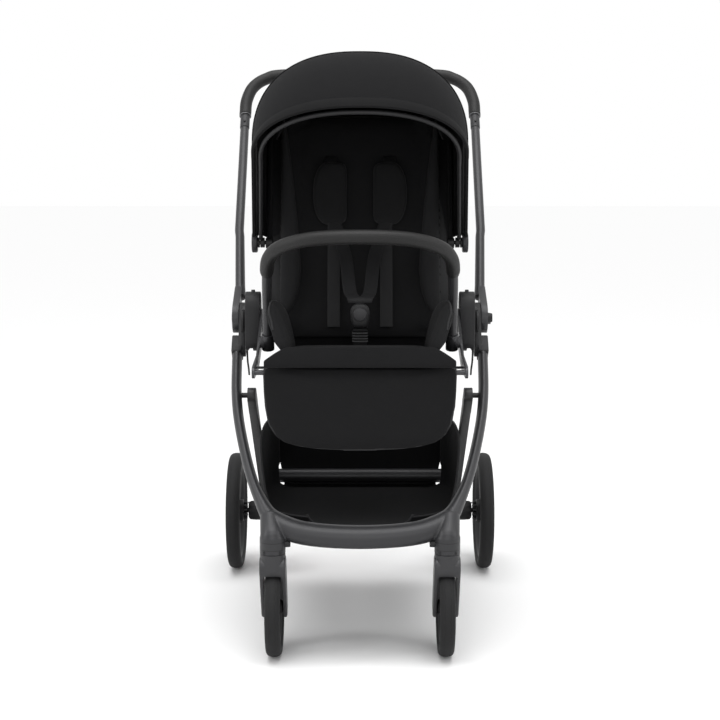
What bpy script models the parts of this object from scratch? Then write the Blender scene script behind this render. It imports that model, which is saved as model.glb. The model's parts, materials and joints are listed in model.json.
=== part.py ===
"""Mid-size stroller, modelled in metres with +Z up.

The stroller faces -Y. Left and right are the pusher's, so left is +X. The origin is on the
floor under the middle of the whole stroller. Distances called back are measured rearwards
from the front axle.
"""

import math

import bmesh
import bpy
from mathutils import Matrix, Vector

# Wheels and stance
OVERALL_WIDTH = 0.575
WHEELBASE = 0.600
FRONT_WHEEL_RADIUS = 0.090
FRONT_TYRE_WIDTH = 0.028
FRONT_TYRE_HEIGHT = 0.019
REAR_WHEEL_RADIUS = 0.127
REAR_TYRE_WIDTH = 0.030
REAR_TYRE_HEIGHT = 0.023
CASTER_TRAIL = 0.045
CASTER_INSET = 0.0825
FRONT_HUB_RADIUS = 0.0135
REAR_HUB_RADIUS = 0.0240
REAR_HUB_HALF = 0.0160

# Clearances
SEAT_GAP = 0.0003
RUN_GAP = 0.0005
WHEEL_GAP = 0.0045
LEG_PLAY = 0.01475
HUB_PLAY = 0.0032

# Front frame and fold pivots
HINGE_BACK = 0.280
HINGE_HEIGHT = 0.588
HINGE_OFFSET = 0.014
HOUSING_OUTSET = 0.0110
HOUSING_INSET = 0.0160
CHEEK_RADIUS = 0.030
NECK_START = 0.045
NECK_END = 0.084
LEG_HALF_WIDTH = 0.00975
LEG_HALF_DEPTH = 0.0155
LOOP_ABOVE_WHEEL = 0.0505
LOOP_HALF_HEIGHT = 0.0215
LOOP_HALF_DEPTH = 0.0200
FOLD_STUB_RADIUS = 0.0080

# Push arms and handle
ARM_ANGLE = 51.5
ARM_LENGTH = 0.505
ARM_RADIUS = 0.0092
ARM_OUTSET = 0.0090
ARM_SPREAD_LENGTH = 0.220
ARM_BORE_DEPTH = 0.270
INNER_TUBE_RADIUS = 0.0066
INNER_TUBE_INSERT = 0.140
COLLAR_RADIUS = 0.0123
COLLAR_LENGTH = 0.036
COLLAR_OVERLAP = 0.016
GRIP_RADIUS = 0.0128
HANDLE_RISE = 0.090
HANDLE_SETBACK = 0.050
LATCH_RADIUS = 0.0105
LATCH_LENGTH = 0.0100

# Rear frame
REAR_PIVOT_BACK = 0.168
REAR_LEG_WIDTH = 0.016
REAR_LEG_RADIUS = 0.0145
REAR_LEG_WAIST = 0.0115
AXLE_BOSS_RADIUS = 0.0205
AXLE_HOUSING_RADIUS = 0.0215
AXLE_HOUSING_LENGTH = 0.0327
AXLE_RADIUS = 0.005
AXLE_REACH = 0.010
CROSS_TUBE_SHARE = 0.665
CROSS_TUBE_RADIUS = 0.0148
BRAKE_RING_LENGTH = 0.0073
BRAKE_RING_PLAY = 0.0032
BRAKE_PIN_RADIUS = 0.0022
BRAKE_PIN_ORBIT = 0.0170
BRAKE_PIN_START = 0.0110
BRAKE_PIN_PLAY = 0.0017
BRAKE_TEETH = 12
PEDAL_DROP = 0.040
PEDAL_SETFORWARD = 0.022
PEDAL_WIDTH = 0.0497
PEDAL_REACH = 0.058
PEDAL_AXLE_RADIUS = 0.0042

# Casters
STEM_RADIUS = 0.006
SOCKET_RADIUS = 0.023
SOCKET_BELOW_LOOP = 0.0289
SOCKET_ABOVE_LOOP = 0.0125
FORK_PLAY = 0.0030
FORK_LEG_THICKNESS = 0.0062
FORK_END_RADIUS = 0.0185
CROWN_RADIUS = 0.0205
LOCK_RADIUS = 0.0068
LOCK_RISE = 0.0169

# Basket
BASKET_SETBACK = 0.0276
BASKET_WALL = 0.0025
BASKET_FRONT_FLOOR = 0.0135
BASKET_FRONT_RIM = 0.0295
BASKET_REAR_FLOOR = -0.0228
BASKET_REAR_RIM = 0.1312
CABLE_RADIUS = 0.0018

# Seat
HUB_SETFORWARD = 0.065
HUB_WIDTH = 0.0285
HUB_HALF_HEIGHT = 0.057
HUB_HALF_DEPTH = 0.029
POST_HEIGHT = 0.046
PLATE_THICKNESS = 0.0050
KNEE_BACK = 0.112
KNEE_RISE = 0.00735
SEAT_INSET = 0.0265
SEAT_LENGTH = 0.274
SEAT_FRONT_DROP = 0.051
SEAT_REAR_DROP = 0.091
SEAT_THICKNESS = 0.030
SEAT_CROWN = 0.008
WING_HEIGHT = 0.096
CALF_PIVOT_BACK_STEP = 0.008
CALF_PIVOT_DROP = 0.0135
CALF_INSET = 0.0125
CALF_LENGTH = 0.140
CALF_HALF_THICKNESS = 0.0115

# Backrest
RECLINE_SETBACK = 0.020
RECLINE_DROP = 0.013
BACK_ANGLE = 71.4
BACK_LENGTH = 0.425
BACK_TUBE_RADIUS = 0.008
BACK_TUBE_INSET = 0.0100
BACK_PAD_INSET = 0.0245
BACK_PAD_OFFSET = 0.026
BACK_PAD_THICKNESS = 0.026
BOLSTER_DEPTH = 0.030

# Harness
BUCKLE_RISE = 0.05335
BUCKLE_HALF_WIDTH = 0.0180
BUCKLE_BUTTON_RADIUS = 0.0131
CROTCH_STRAP_WIDTH = 0.024

# Bumper bar
BUMPER_TUBE_RADIUS = 0.0085
BUMPER_GRIP_RADIUS = 0.0125
BUMPER_INSET = 0.0143
BUMPER_FOOT_BACK = 0.048
BUMPER_FOOT_RISE = 0.020
BUMPER_LEAN = 19.0
BUMPER_REACH = 0.193
BUMPER_RISE = 0.215
BUMPER_BUTTON_UP = 0.072
SLEEVE_LENGTH = 0.030
SLEEVE_WALL = 0.0030

# Canopy
CANOPY_PIVOT_RISE = 0.160
CANOPY_PIVOT_SETBACK = 0.045
CANOPY_PIVOT_OUTSET = 0.0290
CANOPY_MOUNT_OUTSET = 0.0090
CANOPY_CLOTH = 0.0024
BOW_HALF_WIDTH = 0.0024
BOW_HALF_DEPTH = 0.0045

# Widths, each from the piece outside it
REAR_WHEEL_X = (OVERALL_WIDTH - REAR_TYRE_WIDTH) / 2
BRAKE_RING_X = REAR_WHEEL_X - REAR_HUB_HALF - BRAKE_RING_LENGTH
AXLE_HOUSING_X = BRAKE_RING_X - BRAKE_RING_PLAY
REAR_LEG_OUTER = AXLE_HOUSING_X - AXLE_HOUSING_LENGTH - SEAT_GAP
REAR_LEG_X = REAR_LEG_OUTER - REAR_LEG_WIDTH / 2
LEG_X_TOP = REAR_LEG_OUTER + LEG_PLAY + LEG_HALF_WIDTH
FRONT_WHEEL_X = LEG_X_TOP - CASTER_INSET
HOUSING_OUTER = LEG_X_TOP + HOUSING_OUTSET
HOUSING_INNER = LEG_X_TOP - HOUSING_INSET
ARM_X_TOP = LEG_X_TOP + ARM_OUTSET
PLATE_OUTER = HOUSING_INNER - HUB_PLAY - HUB_WIDTH - SEAT_GAP
PLATE_INNER = PLATE_OUTER - PLATE_THICKNESS
BACK_TUBE_X = PLATE_INNER - BACK_TUBE_INSET
BACK_PAD_HALF_WIDTH = BACK_TUBE_X - BACK_PAD_INSET
SEAT_HALF_WIDTH = PLATE_INNER - SEAT_INSET
CALF_HALF_WIDTH = PLATE_INNER - CALF_INSET
BUMPER_X = PLATE_INNER - BUMPER_INSET
CANOPY_PIVOT_X = BACK_TUBE_X + CANOPY_PIVOT_OUTSET

# Depths and heights, each from what carries the piece
FRONT_AXLE_Y = -(WHEELBASE + REAR_WHEEL_RADIUS - FRONT_WHEEL_RADIUS) / 2
FRONT_RIM_RADIUS = FRONT_WHEEL_RADIUS - FRONT_TYRE_HEIGHT
REAR_RIM_RADIUS = REAR_WHEEL_RADIUS - REAR_TYRE_HEIGHT
LOOP_HEIGHT = 2 * FRONT_WHEEL_RADIUS + LOOP_ABOVE_WHEEL
SOCKET_BOTTOM = LOOP_HEIGHT - SOCKET_BELOW_LOOP
SOCKET_TOP = LOOP_HEIGHT + SOCKET_ABOVE_LOOP
LOCK_HEIGHT = SOCKET_BOTTOM + LOCK_RISE
HUB_BACK = HINGE_BACK - HUB_SETFORWARD
RECLINE_BACK = HUB_BACK + RECLINE_SETBACK
RECLINE_HEIGHT = HINGE_HEIGHT - RECLINE_DROP
SEAT_REAR_BACK = RECLINE_BACK - 0.003
SEAT_FRONT_BACK = SEAT_REAR_BACK - SEAT_LENGTH
SEAT_FRONT_HEIGHT = HINGE_HEIGHT - SEAT_FRONT_DROP
SEAT_REAR_HEIGHT = HINGE_HEIGHT - SEAT_REAR_DROP
CALF_PIVOT_BACK = SEAT_FRONT_BACK + CALF_PIVOT_BACK_STEP
CALF_PIVOT_HEIGHT = SEAT_FRONT_HEIGHT - CALF_PIVOT_DROP
SIDES = (("left", 1), ("right", -1))


def at(x, back, height):
    """A point from its x, its distance behind the front axle and its height."""
    return Vector((x, FRONT_AXLE_Y + back, height))


def in_plane(degrees):
    """A unit vector in the side view, turned from +Y towards +Z."""
    turn = math.radians(degrees)
    return Vector((0, math.cos(turn), math.sin(turn)))


def seat_base(back):
    """Height of the underside of the seat cushion."""
    share = (back - SEAT_FRONT_BACK) / (SEAT_REAR_BACK - SEAT_FRONT_BACK)
    return SEAT_FRONT_HEIGHT + (SEAT_REAR_HEIGHT - SEAT_FRONT_HEIGHT) * share


# Scene, materials and small modelling helpers

for old in list(bpy.data.objects):
    bpy.data.objects.remove(old, do_unlink=True)

PARTS = bpy.data.collections.new("stroller")
CUTTERS = bpy.data.collections.new("cutters")
for folder in (PARTS, CUTTERS):
    bpy.context.scene.collection.children.link(folder)


def material(name, colour, roughness, metallic=0.0):
    finish = bpy.data.materials.new(name)
    finish.use_nodes = True
    shader = finish.node_tree.nodes["Principled BSDF"]
    shader.inputs["Base Color"].default_value = (*colour, 1)
    shader.inputs["Roughness"].default_value = roughness
    shader.inputs["Metallic"].default_value = metallic
    return finish


GUNMETAL = material("gunmetal_paint", (0.060, 0.060, 0.064), 0.35, 0.7)
BRIGHT_METAL = material("bare_aluminium", (0.45, 0.45, 0.47), 0.35, 1.0)
DARK_PLASTIC = material("black_plastic", (0.025, 0.025, 0.027), 0.5)
LIGHT_PLASTIC = material("grey_plastic", (0.11, 0.11, 0.115), 0.45)
LEATHER = material("black_leatherette", (0.018, 0.017, 0.017), 0.55)
FABRIC = material("charcoal_fabric", (0.022, 0.022, 0.024), 0.9)
LINING = material("black_lining", (0.010, 0.010, 0.011), 0.9)
WEBBING = material("black_webbing", (0.014, 0.014, 0.015), 0.8)
RUBBER = material("tyre_rubber", (0.030, 0.030, 0.031), 0.85)
RED_PLASTIC = material("red_plastic", (0.45, 0.02, 0.03), 0.5)


def carrier(name, place, parent=None):
    """An empty on a joint's axis, which the pieces of that moving body hang on."""
    empty = bpy.data.objects.new(name, None)
    PARTS.objects.link(empty)
    empty.empty_display_size = 0.02
    empty.location = place
    if parent:
        empty.parent = parent
        empty.location = place - parent.matrix_world.translation
    bpy.context.view_layer.update()
    return empty


def hang(piece, parent):
    piece.parent = parent
    piece.matrix_parent_inverse = parent.matrix_world.inverted()
    return piece


def from_bmesh(name, shape, folder=PARTS):
    bmesh.ops.recalc_face_normals(shape, faces=shape.faces)
    mesh = bpy.data.meshes.new(name)
    shape.to_mesh(mesh)
    shape.free()
    piece = bpy.data.objects.new(name, mesh)
    folder.objects.link(piece)
    return piece


def finish(piece, surface, parent, sharp=35):
    """Gives a piece its material and smooth shading and hangs it on its body."""
    piece.data.materials.append(surface)
    piece.data.shade_smooth()
    piece.data.set_sharp_from_angle(angle=math.radians(sharp))
    return hang(piece, parent)


def pin(name, start, end, radius, sides=16, end_radius=None):
    """A round bar, or a cone, between two points."""
    shape = bmesh.new()
    run = end - start
    bmesh.ops.create_cone(
        shape, cap_ends=True, segments=sides, depth=run.length,
        radius1=radius, radius2=radius if end_radius is None else end_radius,
    )
    turn = run.to_track_quat("Z", "Y").to_matrix().to_4x4()
    bmesh.ops.transform(shape, matrix=Matrix.Translation((start + end) / 2) @ turn, verts=shape.verts)
    return from_bmesh(name, shape)


def block(name, low, high, rounding=0.0, segments=2):
    """A box between two corners with rounded edges."""
    shape = bmesh.new()
    bmesh.ops.create_cube(shape, size=1)
    size = Vector((abs(b - a) for a, b in zip(low, high)))
    bmesh.ops.transform(
        shape, matrix=Matrix.Translation((low + high) / 2) @ Matrix.Diagonal((*size, 1)),
        verts=shape.verts,
    )
    piece = from_bmesh(name, shape)
    if rounding:
        bevel = piece.modifiers.new("rounding", "BEVEL")
        bevel.width = rounding
        bevel.segments = segments
    return piece


def slab(name, outline, x_from, x_to, rounding=0.0, segments=1):
    """A flat outline in the side view, given as points, extruded from one x to another."""
    curve = bpy.data.curves.new(name, "CURVE")
    curve.dimensions = "2D"
    curve.fill_mode = "BOTH"
    curve.extrude = abs(x_to - x_from) / 2
    line = curve.splines.new("POLY")
    line.points.add(len(outline) - 1)
    for point, corner in zip(line.points, outline):
        point.co = (corner.y, corner.z, 0, 1)
    line.use_cyclic_u = True
    piece = bpy.data.objects.new(name, curve)
    PARTS.objects.link(piece)
    piece.location = ((x_from + x_to) / 2, 0, 0)
    piece.rotation_euler = (math.radians(90), 0, math.radians(90))
    piece = as_mesh(piece)
    if rounding:
        bevel = piece.modifiers.new("rounding", "BEVEL")
        bevel.width = rounding
        bevel.segments = segments
        bevel.limit_method = "ANGLE"
        bevel.angle_limit = math.radians(50)
    return piece


def as_mesh(piece):
    """Turns a curve object into a closed mesh object in the same place."""
    bpy.context.view_layer.update()
    name = piece.name
    ready = piece.evaluated_get(bpy.context.evaluated_depsgraph_get())
    mesh = bpy.data.meshes.new_from_object(ready)
    shape = bmesh.new()
    shape.from_mesh(mesh)
    bmesh.ops.remove_doubles(shape, verts=shape.verts, dist=0.00001)
    bmesh.ops.recalc_face_normals(shape, faces=shape.faces)
    shape.to_mesh(mesh)
    shape.free()
    place = piece.matrix_world.copy()
    bpy.data.objects.remove(piece)
    mesh.name = name
    solid = bpy.data.objects.new(name, mesh)
    PARTS.objects.link(solid)
    solid.matrix_world = place
    bpy.context.view_layer.update()
    return solid


def smooth_path(points, steps):
    """Points on a smooth curve that passes through the given ones."""
    ends = [points[0] * 2 - points[1], *points, points[-1] * 2 - points[-2]]
    path = []
    for before, start, end, after in zip(ends, ends[1:], ends[2:], ends[3:]):
        for step in range(steps):
            t = step / steps
            path.append(
                start
                + (end - before) * (t / 2)
                + (before * 2 - start * 5 + end * 4 - after) * (t * t / 2)
                + (start * 3 - before - end * 3 + after) * (t ** 3 / 2)
            )
    path.append(points[-1].copy())
    return path


def tube(name, path, radius, resolution=2):
    """A bevelled curve with filled caps, as a mesh."""
    curve = bpy.data.curves.new(name, "CURVE")
    curve.dimensions = "3D"
    curve.bevel_depth = radius
    curve.bevel_resolution = resolution
    curve.use_fill_caps = True
    line = curve.splines.new("POLY")
    line.points.add(len(path) - 1)
    for point, place in zip(line.points, path):
        point.co = (*place, 1)
    piece = bpy.data.objects.new(name, curve)
    PARTS.objects.link(piece)
    return as_mesh(piece)


def loft(name, rings, closed=False):
    """A skin over rings of equal point counts, with its ends filled."""
    shape = bmesh.new()
    loops = [[shape.verts.new(place) for place in ring] for ring in rings]
    pairs = list(zip(loops, loops[1:]))
    if closed:
        pairs.append((loops[-1], loops[0]))
    for first, second in pairs:
        for i in range(len(first)):
            j = (i + 1) % len(first)
            shape.faces.new((first[i], first[j], second[j], second[i]))
    if not closed:
        shape.faces.new(loops[0])
        shape.faces.new(loops[-1])
    return from_bmesh(name, shape)


def oval(centre, across, along, half_across, half_along, sides=12):
    """A ring of points on an ellipse."""
    turns = [2 * math.pi * i / sides for i in range(sides)]
    return [
        centre + across * (half_across * math.cos(t)) + along * (half_along * math.sin(t))
        for t in turns
    ]


def turned(name, profile, centre, outward, steps):
    """A closed profile of (radius, along) pairs, its outer side first and from the top down,
    turned round the x axis through centre. along grows towards the outward side. Half a step
    of turn puts a flat facet at the bottom."""
    mesh = bpy.data.meshes.new(name)
    count = len(profile)
    half_step = math.pi / steps
    points = [
        (radius * math.cos(half_step), radius * math.sin(half_step), along)
        for radius, along in profile
    ]
    mesh.from_pydata(points, [(i, (i + 1) % count) for i in range(count)], [])
    piece = bpy.data.objects.new(name, mesh)
    PARTS.objects.link(piece)
    screw = piece.modifiers.new("turn", "SCREW")
    screw.axis = "Z"
    screw.steps = steps
    screw.render_steps = steps
    screw.use_merge_vertices = True
    screw.merge_threshold = 0.00001
    screw.use_smooth_shade = True
    piece.location = centre
    piece.rotation_euler = (0, math.radians(90 * outward), 0)
    return piece


def combine(piece, tool, operation):
    change = piece.modifiers.new(operation.lower(), "BOOLEAN")
    change.operation = operation
    change.solver = "EXACT"
    change.object = tool
    for folder in list(tool.users_collection):
        folder.objects.unlink(tool)
    CUTTERS.objects.link(tool)
    tool.hide_render = True
    tool.display_type = "WIRE"
    return piece


def cut(piece, *tools):
    for tool in tools:
        combine(piece, tool, "DIFFERENCE")
    return piece


def fuse(piece, *tools):
    for tool in tools:
        combine(piece, tool, "UNION")
    return piece


def rounded(a, radius_a, b, radius_b, arc=8):
    """The side outline of a bar with round ends, from one centre and radius to another."""
    run = b - a
    lean = math.atan2(run.z, run.y)
    spread = math.acos(max(-1, min(1, (radius_a - radius_b) / run.length)))
    points = []
    for centre, radius, start, end in (
        (b, radius_b, -spread, spread),
        (a, radius_a, spread, 2 * math.pi - spread),
    ):
        for i in range(arc + 1):
            turn = lean + start + (end - start) * i / arc
            points.append(centre + Vector((0, math.cos(turn), math.sin(turn))) * radius)
    return points


def soft(name, middle, upper, lower, columns, rows):
    """A cushion: a grid in a and b from -1 to 1, laid on a middle surface and thickened to
    both sides along its normal."""
    shape = bmesh.new()
    bmesh.ops.create_grid(shape, x_segments=columns, y_segments=rows, size=1)
    top = set(shape.verts)
    bmesh.ops.extrude_face_region(
        shape, geom=shape.verts[:] + shape.edges[:] + shape.faces[:], use_keep_orig=True,
    )
    step = 0.001
    for corner in shape.verts:
        a, b = corner.co.x, corner.co.y
        place = middle(a, b)
        across = middle(a + step, b) - middle(a - step, b)
        along = middle(a, b + step) - middle(a, b - step)
        normal = across.cross(along).normalized()
        corner.co = place + normal * (upper(a, b) if corner in top else -lower(a, b))
    return from_bmesh(name, shape)


def edge_fall(a, b, power=4):
    """1 in the middle of a cushion and 0 at its edge."""
    return (1 - abs(a) ** power) * (1 - abs(b) ** power)


# Lines that the frame follows

HINGE = at(0, HINGE_BACK, HINGE_HEIGHT)
ARM_DIRECTION = in_plane(ARM_ANGLE)
ARM_BEHIND = in_plane(ARM_ANGLE - 90)
FRAME_LINE = HINGE + ARM_BEHIND * HINGE_OFFSET
LOOP_CENTRE = at(0, -CASTER_TRAIL, LOOP_HEIGHT)
LEG_LENGTH = (LOOP_CENTRE - FRAME_LINE).length
LEG_DIRECTION = (LOOP_CENTRE - FRAME_LINE).normalized()
LEG_NORMAL = Vector((0, LEG_DIRECTION.z, -LEG_DIRECTION.y))
HALF_SPLIT = (HOUSING_OUTER + HOUSING_INNER) / 2


def on_leg(x, down):
    """A point in the plane of the front loop, at a distance down from the hinge."""
    return FRAME_LINE + LEG_DIRECTION * down + Vector((x, 0, 0))


def on_arm(x, up, behind=0.0):
    """A point on the push arm's line, at a distance up from the hinge."""
    return FRAME_LINE + ARM_DIRECTION * up + ARM_BEHIND * behind + Vector((x, 0, 0))


REAR_AXLE = at(0, WHEELBASE, REAR_WHEEL_RADIUS)
REAR_PIVOT_DOWN = (FRONT_AXLE_Y + REAR_PIVOT_BACK - FRAME_LINE.y) / LEG_DIRECTION.y
REAR_PIVOT = on_leg(0, REAR_PIVOT_DOWN)
REAR_DIRECTION = (REAR_AXLE - REAR_PIVOT).normalized()
REAR_LENGTH = (REAR_AXLE - REAR_PIVOT).length
CROSS_TUBE = REAR_PIVOT + REAR_DIRECTION * (REAR_LENGTH * CROSS_TUBE_SHARE)
RECLINE = at(0, RECLINE_BACK, RECLINE_HEIGHT)
BACK_DIRECTION = in_plane(BACK_ANGLE)
BACK_BEHIND = in_plane(BACK_ANGLE - 90)
CANOPY_PIVOT = at(0, RECLINE_BACK + CANOPY_PIVOT_SETBACK, RECLINE_HEIGHT + CANOPY_PIVOT_RISE)
KNEE = at(0, SEAT_FRONT_BACK + KNEE_BACK, seat_base(SEAT_FRONT_BACK + KNEE_BACK) + KNEE_RISE)
BUMPER_FOOT = KNEE + Vector((0, BUMPER_FOOT_BACK, BUMPER_FOOT_RISE))
BUCKLE = KNEE + Vector((0, 0, SEAT_THICKNESS + SEAT_CROWN + BUCKLE_RISE - KNEE_RISE))
BUMPER_DIRECTION = in_plane(90 + BUMPER_LEAN)

CHASSIS = carrier("chassis", Vector((0, 0, 0)))
PUSH_ARMS = carrier("push_arms", HINGE, CHASSIS)
HANDLE = carrier("handle", on_arm(0, ARM_LENGTH), PUSH_ARMS)
REAR_FRAME = carrier("rear_frame", REAR_PIVOT, CHASSIS)
SEAT = carrier("seat_unit", at(0, HUB_BACK, HINGE_HEIGHT), CHASSIS)
BACKREST = carrier("backrest", RECLINE, SEAT)
CALF = carrier("calf", at(0, CALF_PIVOT_BACK, CALF_PIVOT_HEIGHT), SEAT)
BUMPER = carrier("bumper_bar", BUMPER_FOOT, SEAT)
CANOPY_MID = carrier("canopy_mid", CANOPY_PIVOT, BACKREST)
CANOPY_FRONT = carrier("canopy_front", CANOPY_PIVOT, CANOPY_MID)


# Front frame: one tube, narrow on the legs and broad on the cross member

LOOP_POINTS = (
    # distance in from the leg's top, share of the leg's length
    (0.0, 0.176), (0.0035, 0.360), (0.0135, 0.515), (0.0345, 0.705), (0.0565, 0.836),
    (0.0855, 0.922), (0.1375, 0.974),
)


def front_frame(name, grow=0.0):
    half = [on_leg(LEG_X_TOP - inset, LEG_LENGTH * share) for inset, share in LOOP_POINTS]
    half[0] = on_leg(LEG_X_TOP, NECK_END + SEAT_GAP - grow)
    other = [Vector((-p.x, p.y, p.z)) for p in reversed(half)]
    path = smooth_path([*half, LOOP_CENTRE, *other], 2)
    rings = []
    for i, place in enumerate(path):
        run = (path[min(i + 1, len(path) - 1)] - path[max(i - 1, 0)]).normalized()
        across = run.cross(LEG_NORMAL).normalized()
        share = 1 - min(1, max(0, (abs(place.x) - FRONT_WHEEL_X + 0.045) / 0.075))
        broad = share * share * (3 - 2 * share)
        rings.append(oval(
            place, across, LEG_NORMAL,
            LEG_HALF_WIDTH + (LOOP_HALF_HEIGHT - LEG_HALF_WIDTH) * broad + grow,
            LEG_HALF_DEPTH + (LOOP_HALF_DEPTH - LEG_HALF_DEPTH) * broad + grow,
        ))
    return loft(name, rings)


loop = front_frame("front_frame")
for side, sign in SIDES:
    cut(loop, pin(
        f"rear_pivot_hole_{side}",
        REAR_PIVOT + Vector((sign * (REAR_LEG_X - 0.02), 0, 0)),
        REAR_PIVOT + Vector((sign * (LEG_X_TOP + 0.001), 0, 0)), AXLE_RADIUS + SEAT_GAP,
    ))
finish(loop, GUNMETAL, CHASSIS)


# Fold hinges: the leg's cheek is inside, the push arm's cheek outside

for side, sign in SIDES:
    inner = sign * HOUSING_INNER
    split = sign * HALF_SPLIT
    neck_half = LEG_HALF_WIDTH + 0.0008
    housing = slab(
        f"hinge_housing_{side}",
        rounded(HINGE, CHEEK_RADIUS, on_leg(0, NECK_END - 0.019), LEG_HALF_DEPTH + 0.0015, 8),
        inner, split - sign * SEAT_GAP / 2, 0.0015,
    )
    neck = slab(
        f"hinge_neck_{side}",
        [
            on_leg(0, NECK_START) + LEG_NORMAL * (LEG_HALF_DEPTH + 0.001),
            on_leg(0, NECK_END) + LEG_NORMAL * (LEG_HALF_DEPTH + 0.001),
            on_leg(0, NECK_END) - LEG_NORMAL * (LEG_HALF_DEPTH + 0.001),
            on_leg(0, NECK_START) - LEG_NORMAL * (LEG_HALF_DEPTH + 0.001),
        ],
        sign * (LEG_X_TOP - neck_half), sign * (LEG_X_TOP + neck_half), 0.002,
    )
    post_centre = at(0, HUB_BACK, HINGE_HEIGHT)
    post_neck = block(
        f"post_neck_{side}",
        post_centre + Vector((inner + sign * 0.004, -0.008, -POST_HEIGHT / 2)),
        post_centre + Vector((inner - sign * 0.0110, 0.008, POST_HEIGHT / 2)),
    )
    post_root = slab(
        f"post_root_{side}",
        rounded(post_centre, POST_HEIGHT / 2, HINGE, CHEEK_RADIUS - 0.004, 6),
        inner + sign * 0.0005, inner + sign * 0.0048,
    )
    post_head = block(
        f"post_head_{side}",
        post_centre + Vector((inner - sign * 0.0095, -0.017, -POST_HEIGHT / 2)),
        post_centre + Vector((inner - sign * 0.0165, 0.017, POST_HEIGHT / 2)), 0.002, 1,
    )
    fuse(housing, neck, post_root, post_neck, post_head)
    cut(housing, pin(
        f"fold_bore_{side}", HINGE + Vector((split + sign * 0.002, 0, 0)),
        HINGE + Vector((split - sign * 0.0095, 0, 0)), FOLD_STUB_RADIUS + SEAT_GAP,
    ))
    finish(housing, DARK_PLASTIC, CHASSIS)


# Push arms: pivot cheek, neck and hollow tube in one

for side, sign in SIDES:
    split = sign * HALF_SPLIT
    outer = sign * HOUSING_OUTER
    arm = slab(
        f"push_arm_{side}",
        rounded(HINGE, CHEEK_RADIUS, on_arm(0, NECK_END - 0.016), ARM_RADIUS + 0.004, 8),
        split + sign * SEAT_GAP / 2, outer, 0.0025, 1,
    )
    base_x = (HOUSING_OUTER + HOUSING_INNER) / 2 + 0.004
    path = [
        on_arm(sign * (base_x - 0.001), NECK_START + 0.012),
        on_arm(sign * base_x, NECK_END),
        on_arm(sign * (base_x + (ARM_X_TOP - base_x) * 0.75), NECK_END + ARM_SPREAD_LENGTH * 0.55),
        on_arm(sign * ARM_X_TOP, ARM_SPREAD_LENGTH),
        on_arm(sign * ARM_X_TOP, ARM_LENGTH),
    ]
    rings = []
    for i, place in enumerate(path):
        flare = 0.0035 if i == 0 else 0.001 if i == 1 else 0
        rings.append(oval(
            place, Vector((1, 0, 0)), ARM_BEHIND, ARM_RADIUS + flare * 0.6,
            ARM_RADIUS + flare, 14,
        ))
    stub = pin(
        f"fold_stub_{side}", HINGE + Vector((split + sign * 0.004, 0, 0)),
        HINGE + Vector((split - sign * 0.0085, 0, 0)), FOLD_STUB_RADIUS,
    )
    fuse(arm, loft(f"arm_tube_{side}", rings), stub)
    cut(arm, pin(
        f"arm_bore_{side}", on_arm(sign * ARM_X_TOP, ARM_LENGTH - ARM_BORE_DEPTH),
        on_arm(sign * ARM_X_TOP, ARM_LENGTH + 0.01), INNER_TUBE_RADIUS + SEAT_GAP,
    ))
    finish(arm, GUNMETAL, PUSH_ARMS)

    collar = pin(
        f"handle_collar_{side}",
        on_arm(sign * ARM_X_TOP, ARM_LENGTH - COLLAR_OVERLAP),
        on_arm(sign * ARM_X_TOP, ARM_LENGTH - COLLAR_OVERLAP + COLLAR_LENGTH), COLLAR_RADIUS, 20,
    )
    cut(
        collar,
        pin(
            f"collar_seat_{side}", on_arm(sign * ARM_X_TOP, ARM_LENGTH - COLLAR_OVERLAP - 0.01),
            on_arm(sign * ARM_X_TOP, ARM_LENGTH + SEAT_GAP), ARM_RADIUS + SEAT_GAP,
        ),
        pin(
            f"collar_bore_{side}", on_arm(sign * ARM_X_TOP, ARM_LENGTH - 0.02),
            on_arm(sign * ARM_X_TOP, ARM_LENGTH + 0.03), INNER_TUBE_RADIUS + SEAT_GAP,
        ),
    )
    finish(collar, LIGHT_PLASTIC, PUSH_ARMS)

latch_base = HINGE + Vector((HOUSING_OUTER + SEAT_GAP, 0, 0))
LATCH = carrier("storage_latch_axis", latch_base, PUSH_ARMS)
latch = pin("storage_latch", latch_base, latch_base + Vector((LATCH_LENGTH, 0, 0)), LATCH_RADIUS, 20,
            LATCH_RADIUS - 0.002)
wing = slab(
    "latch_wing", rounded(HINGE, 0.006, HINGE + ARM_BEHIND * 0.016, 0.004, 5),
    latch_base.x + 0.003, latch_base.x + LATCH_LENGTH - 0.002,
)
fuse(latch, wing)
finish(latch, DARK_PLASTIC, LATCH)


# Handle: an inner U tube in the arms, a leatherette grip round its bend

GRIP_START = ARM_LENGTH - COLLAR_OVERLAP + COLLAR_LENGTH + SEAT_GAP


def handle_points():
    corner = on_arm(ARM_X_TOP, GRIP_START)
    rise = Vector((0, HANDLE_SETBACK, HANDLE_RISE))
    half = [
        corner,
        corner + Vector((-0.0020, rise.y * 0.40, rise.z * 0.36)),
        corner + Vector((-0.0150, rise.y * 0.72, rise.z * 0.68)),
        corner + Vector((-0.0430, rise.y * 0.92, rise.z * 0.89)),
        corner + Vector((-0.0850, rise.y * 0.99, rise.z * 0.98)),
    ]
    middle = Vector((0, corner.y + rise.y, corner.z + rise.z))
    other = [Vector((-p.x, p.y, p.z)) for p in reversed(half)]
    return half, middle, other


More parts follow.
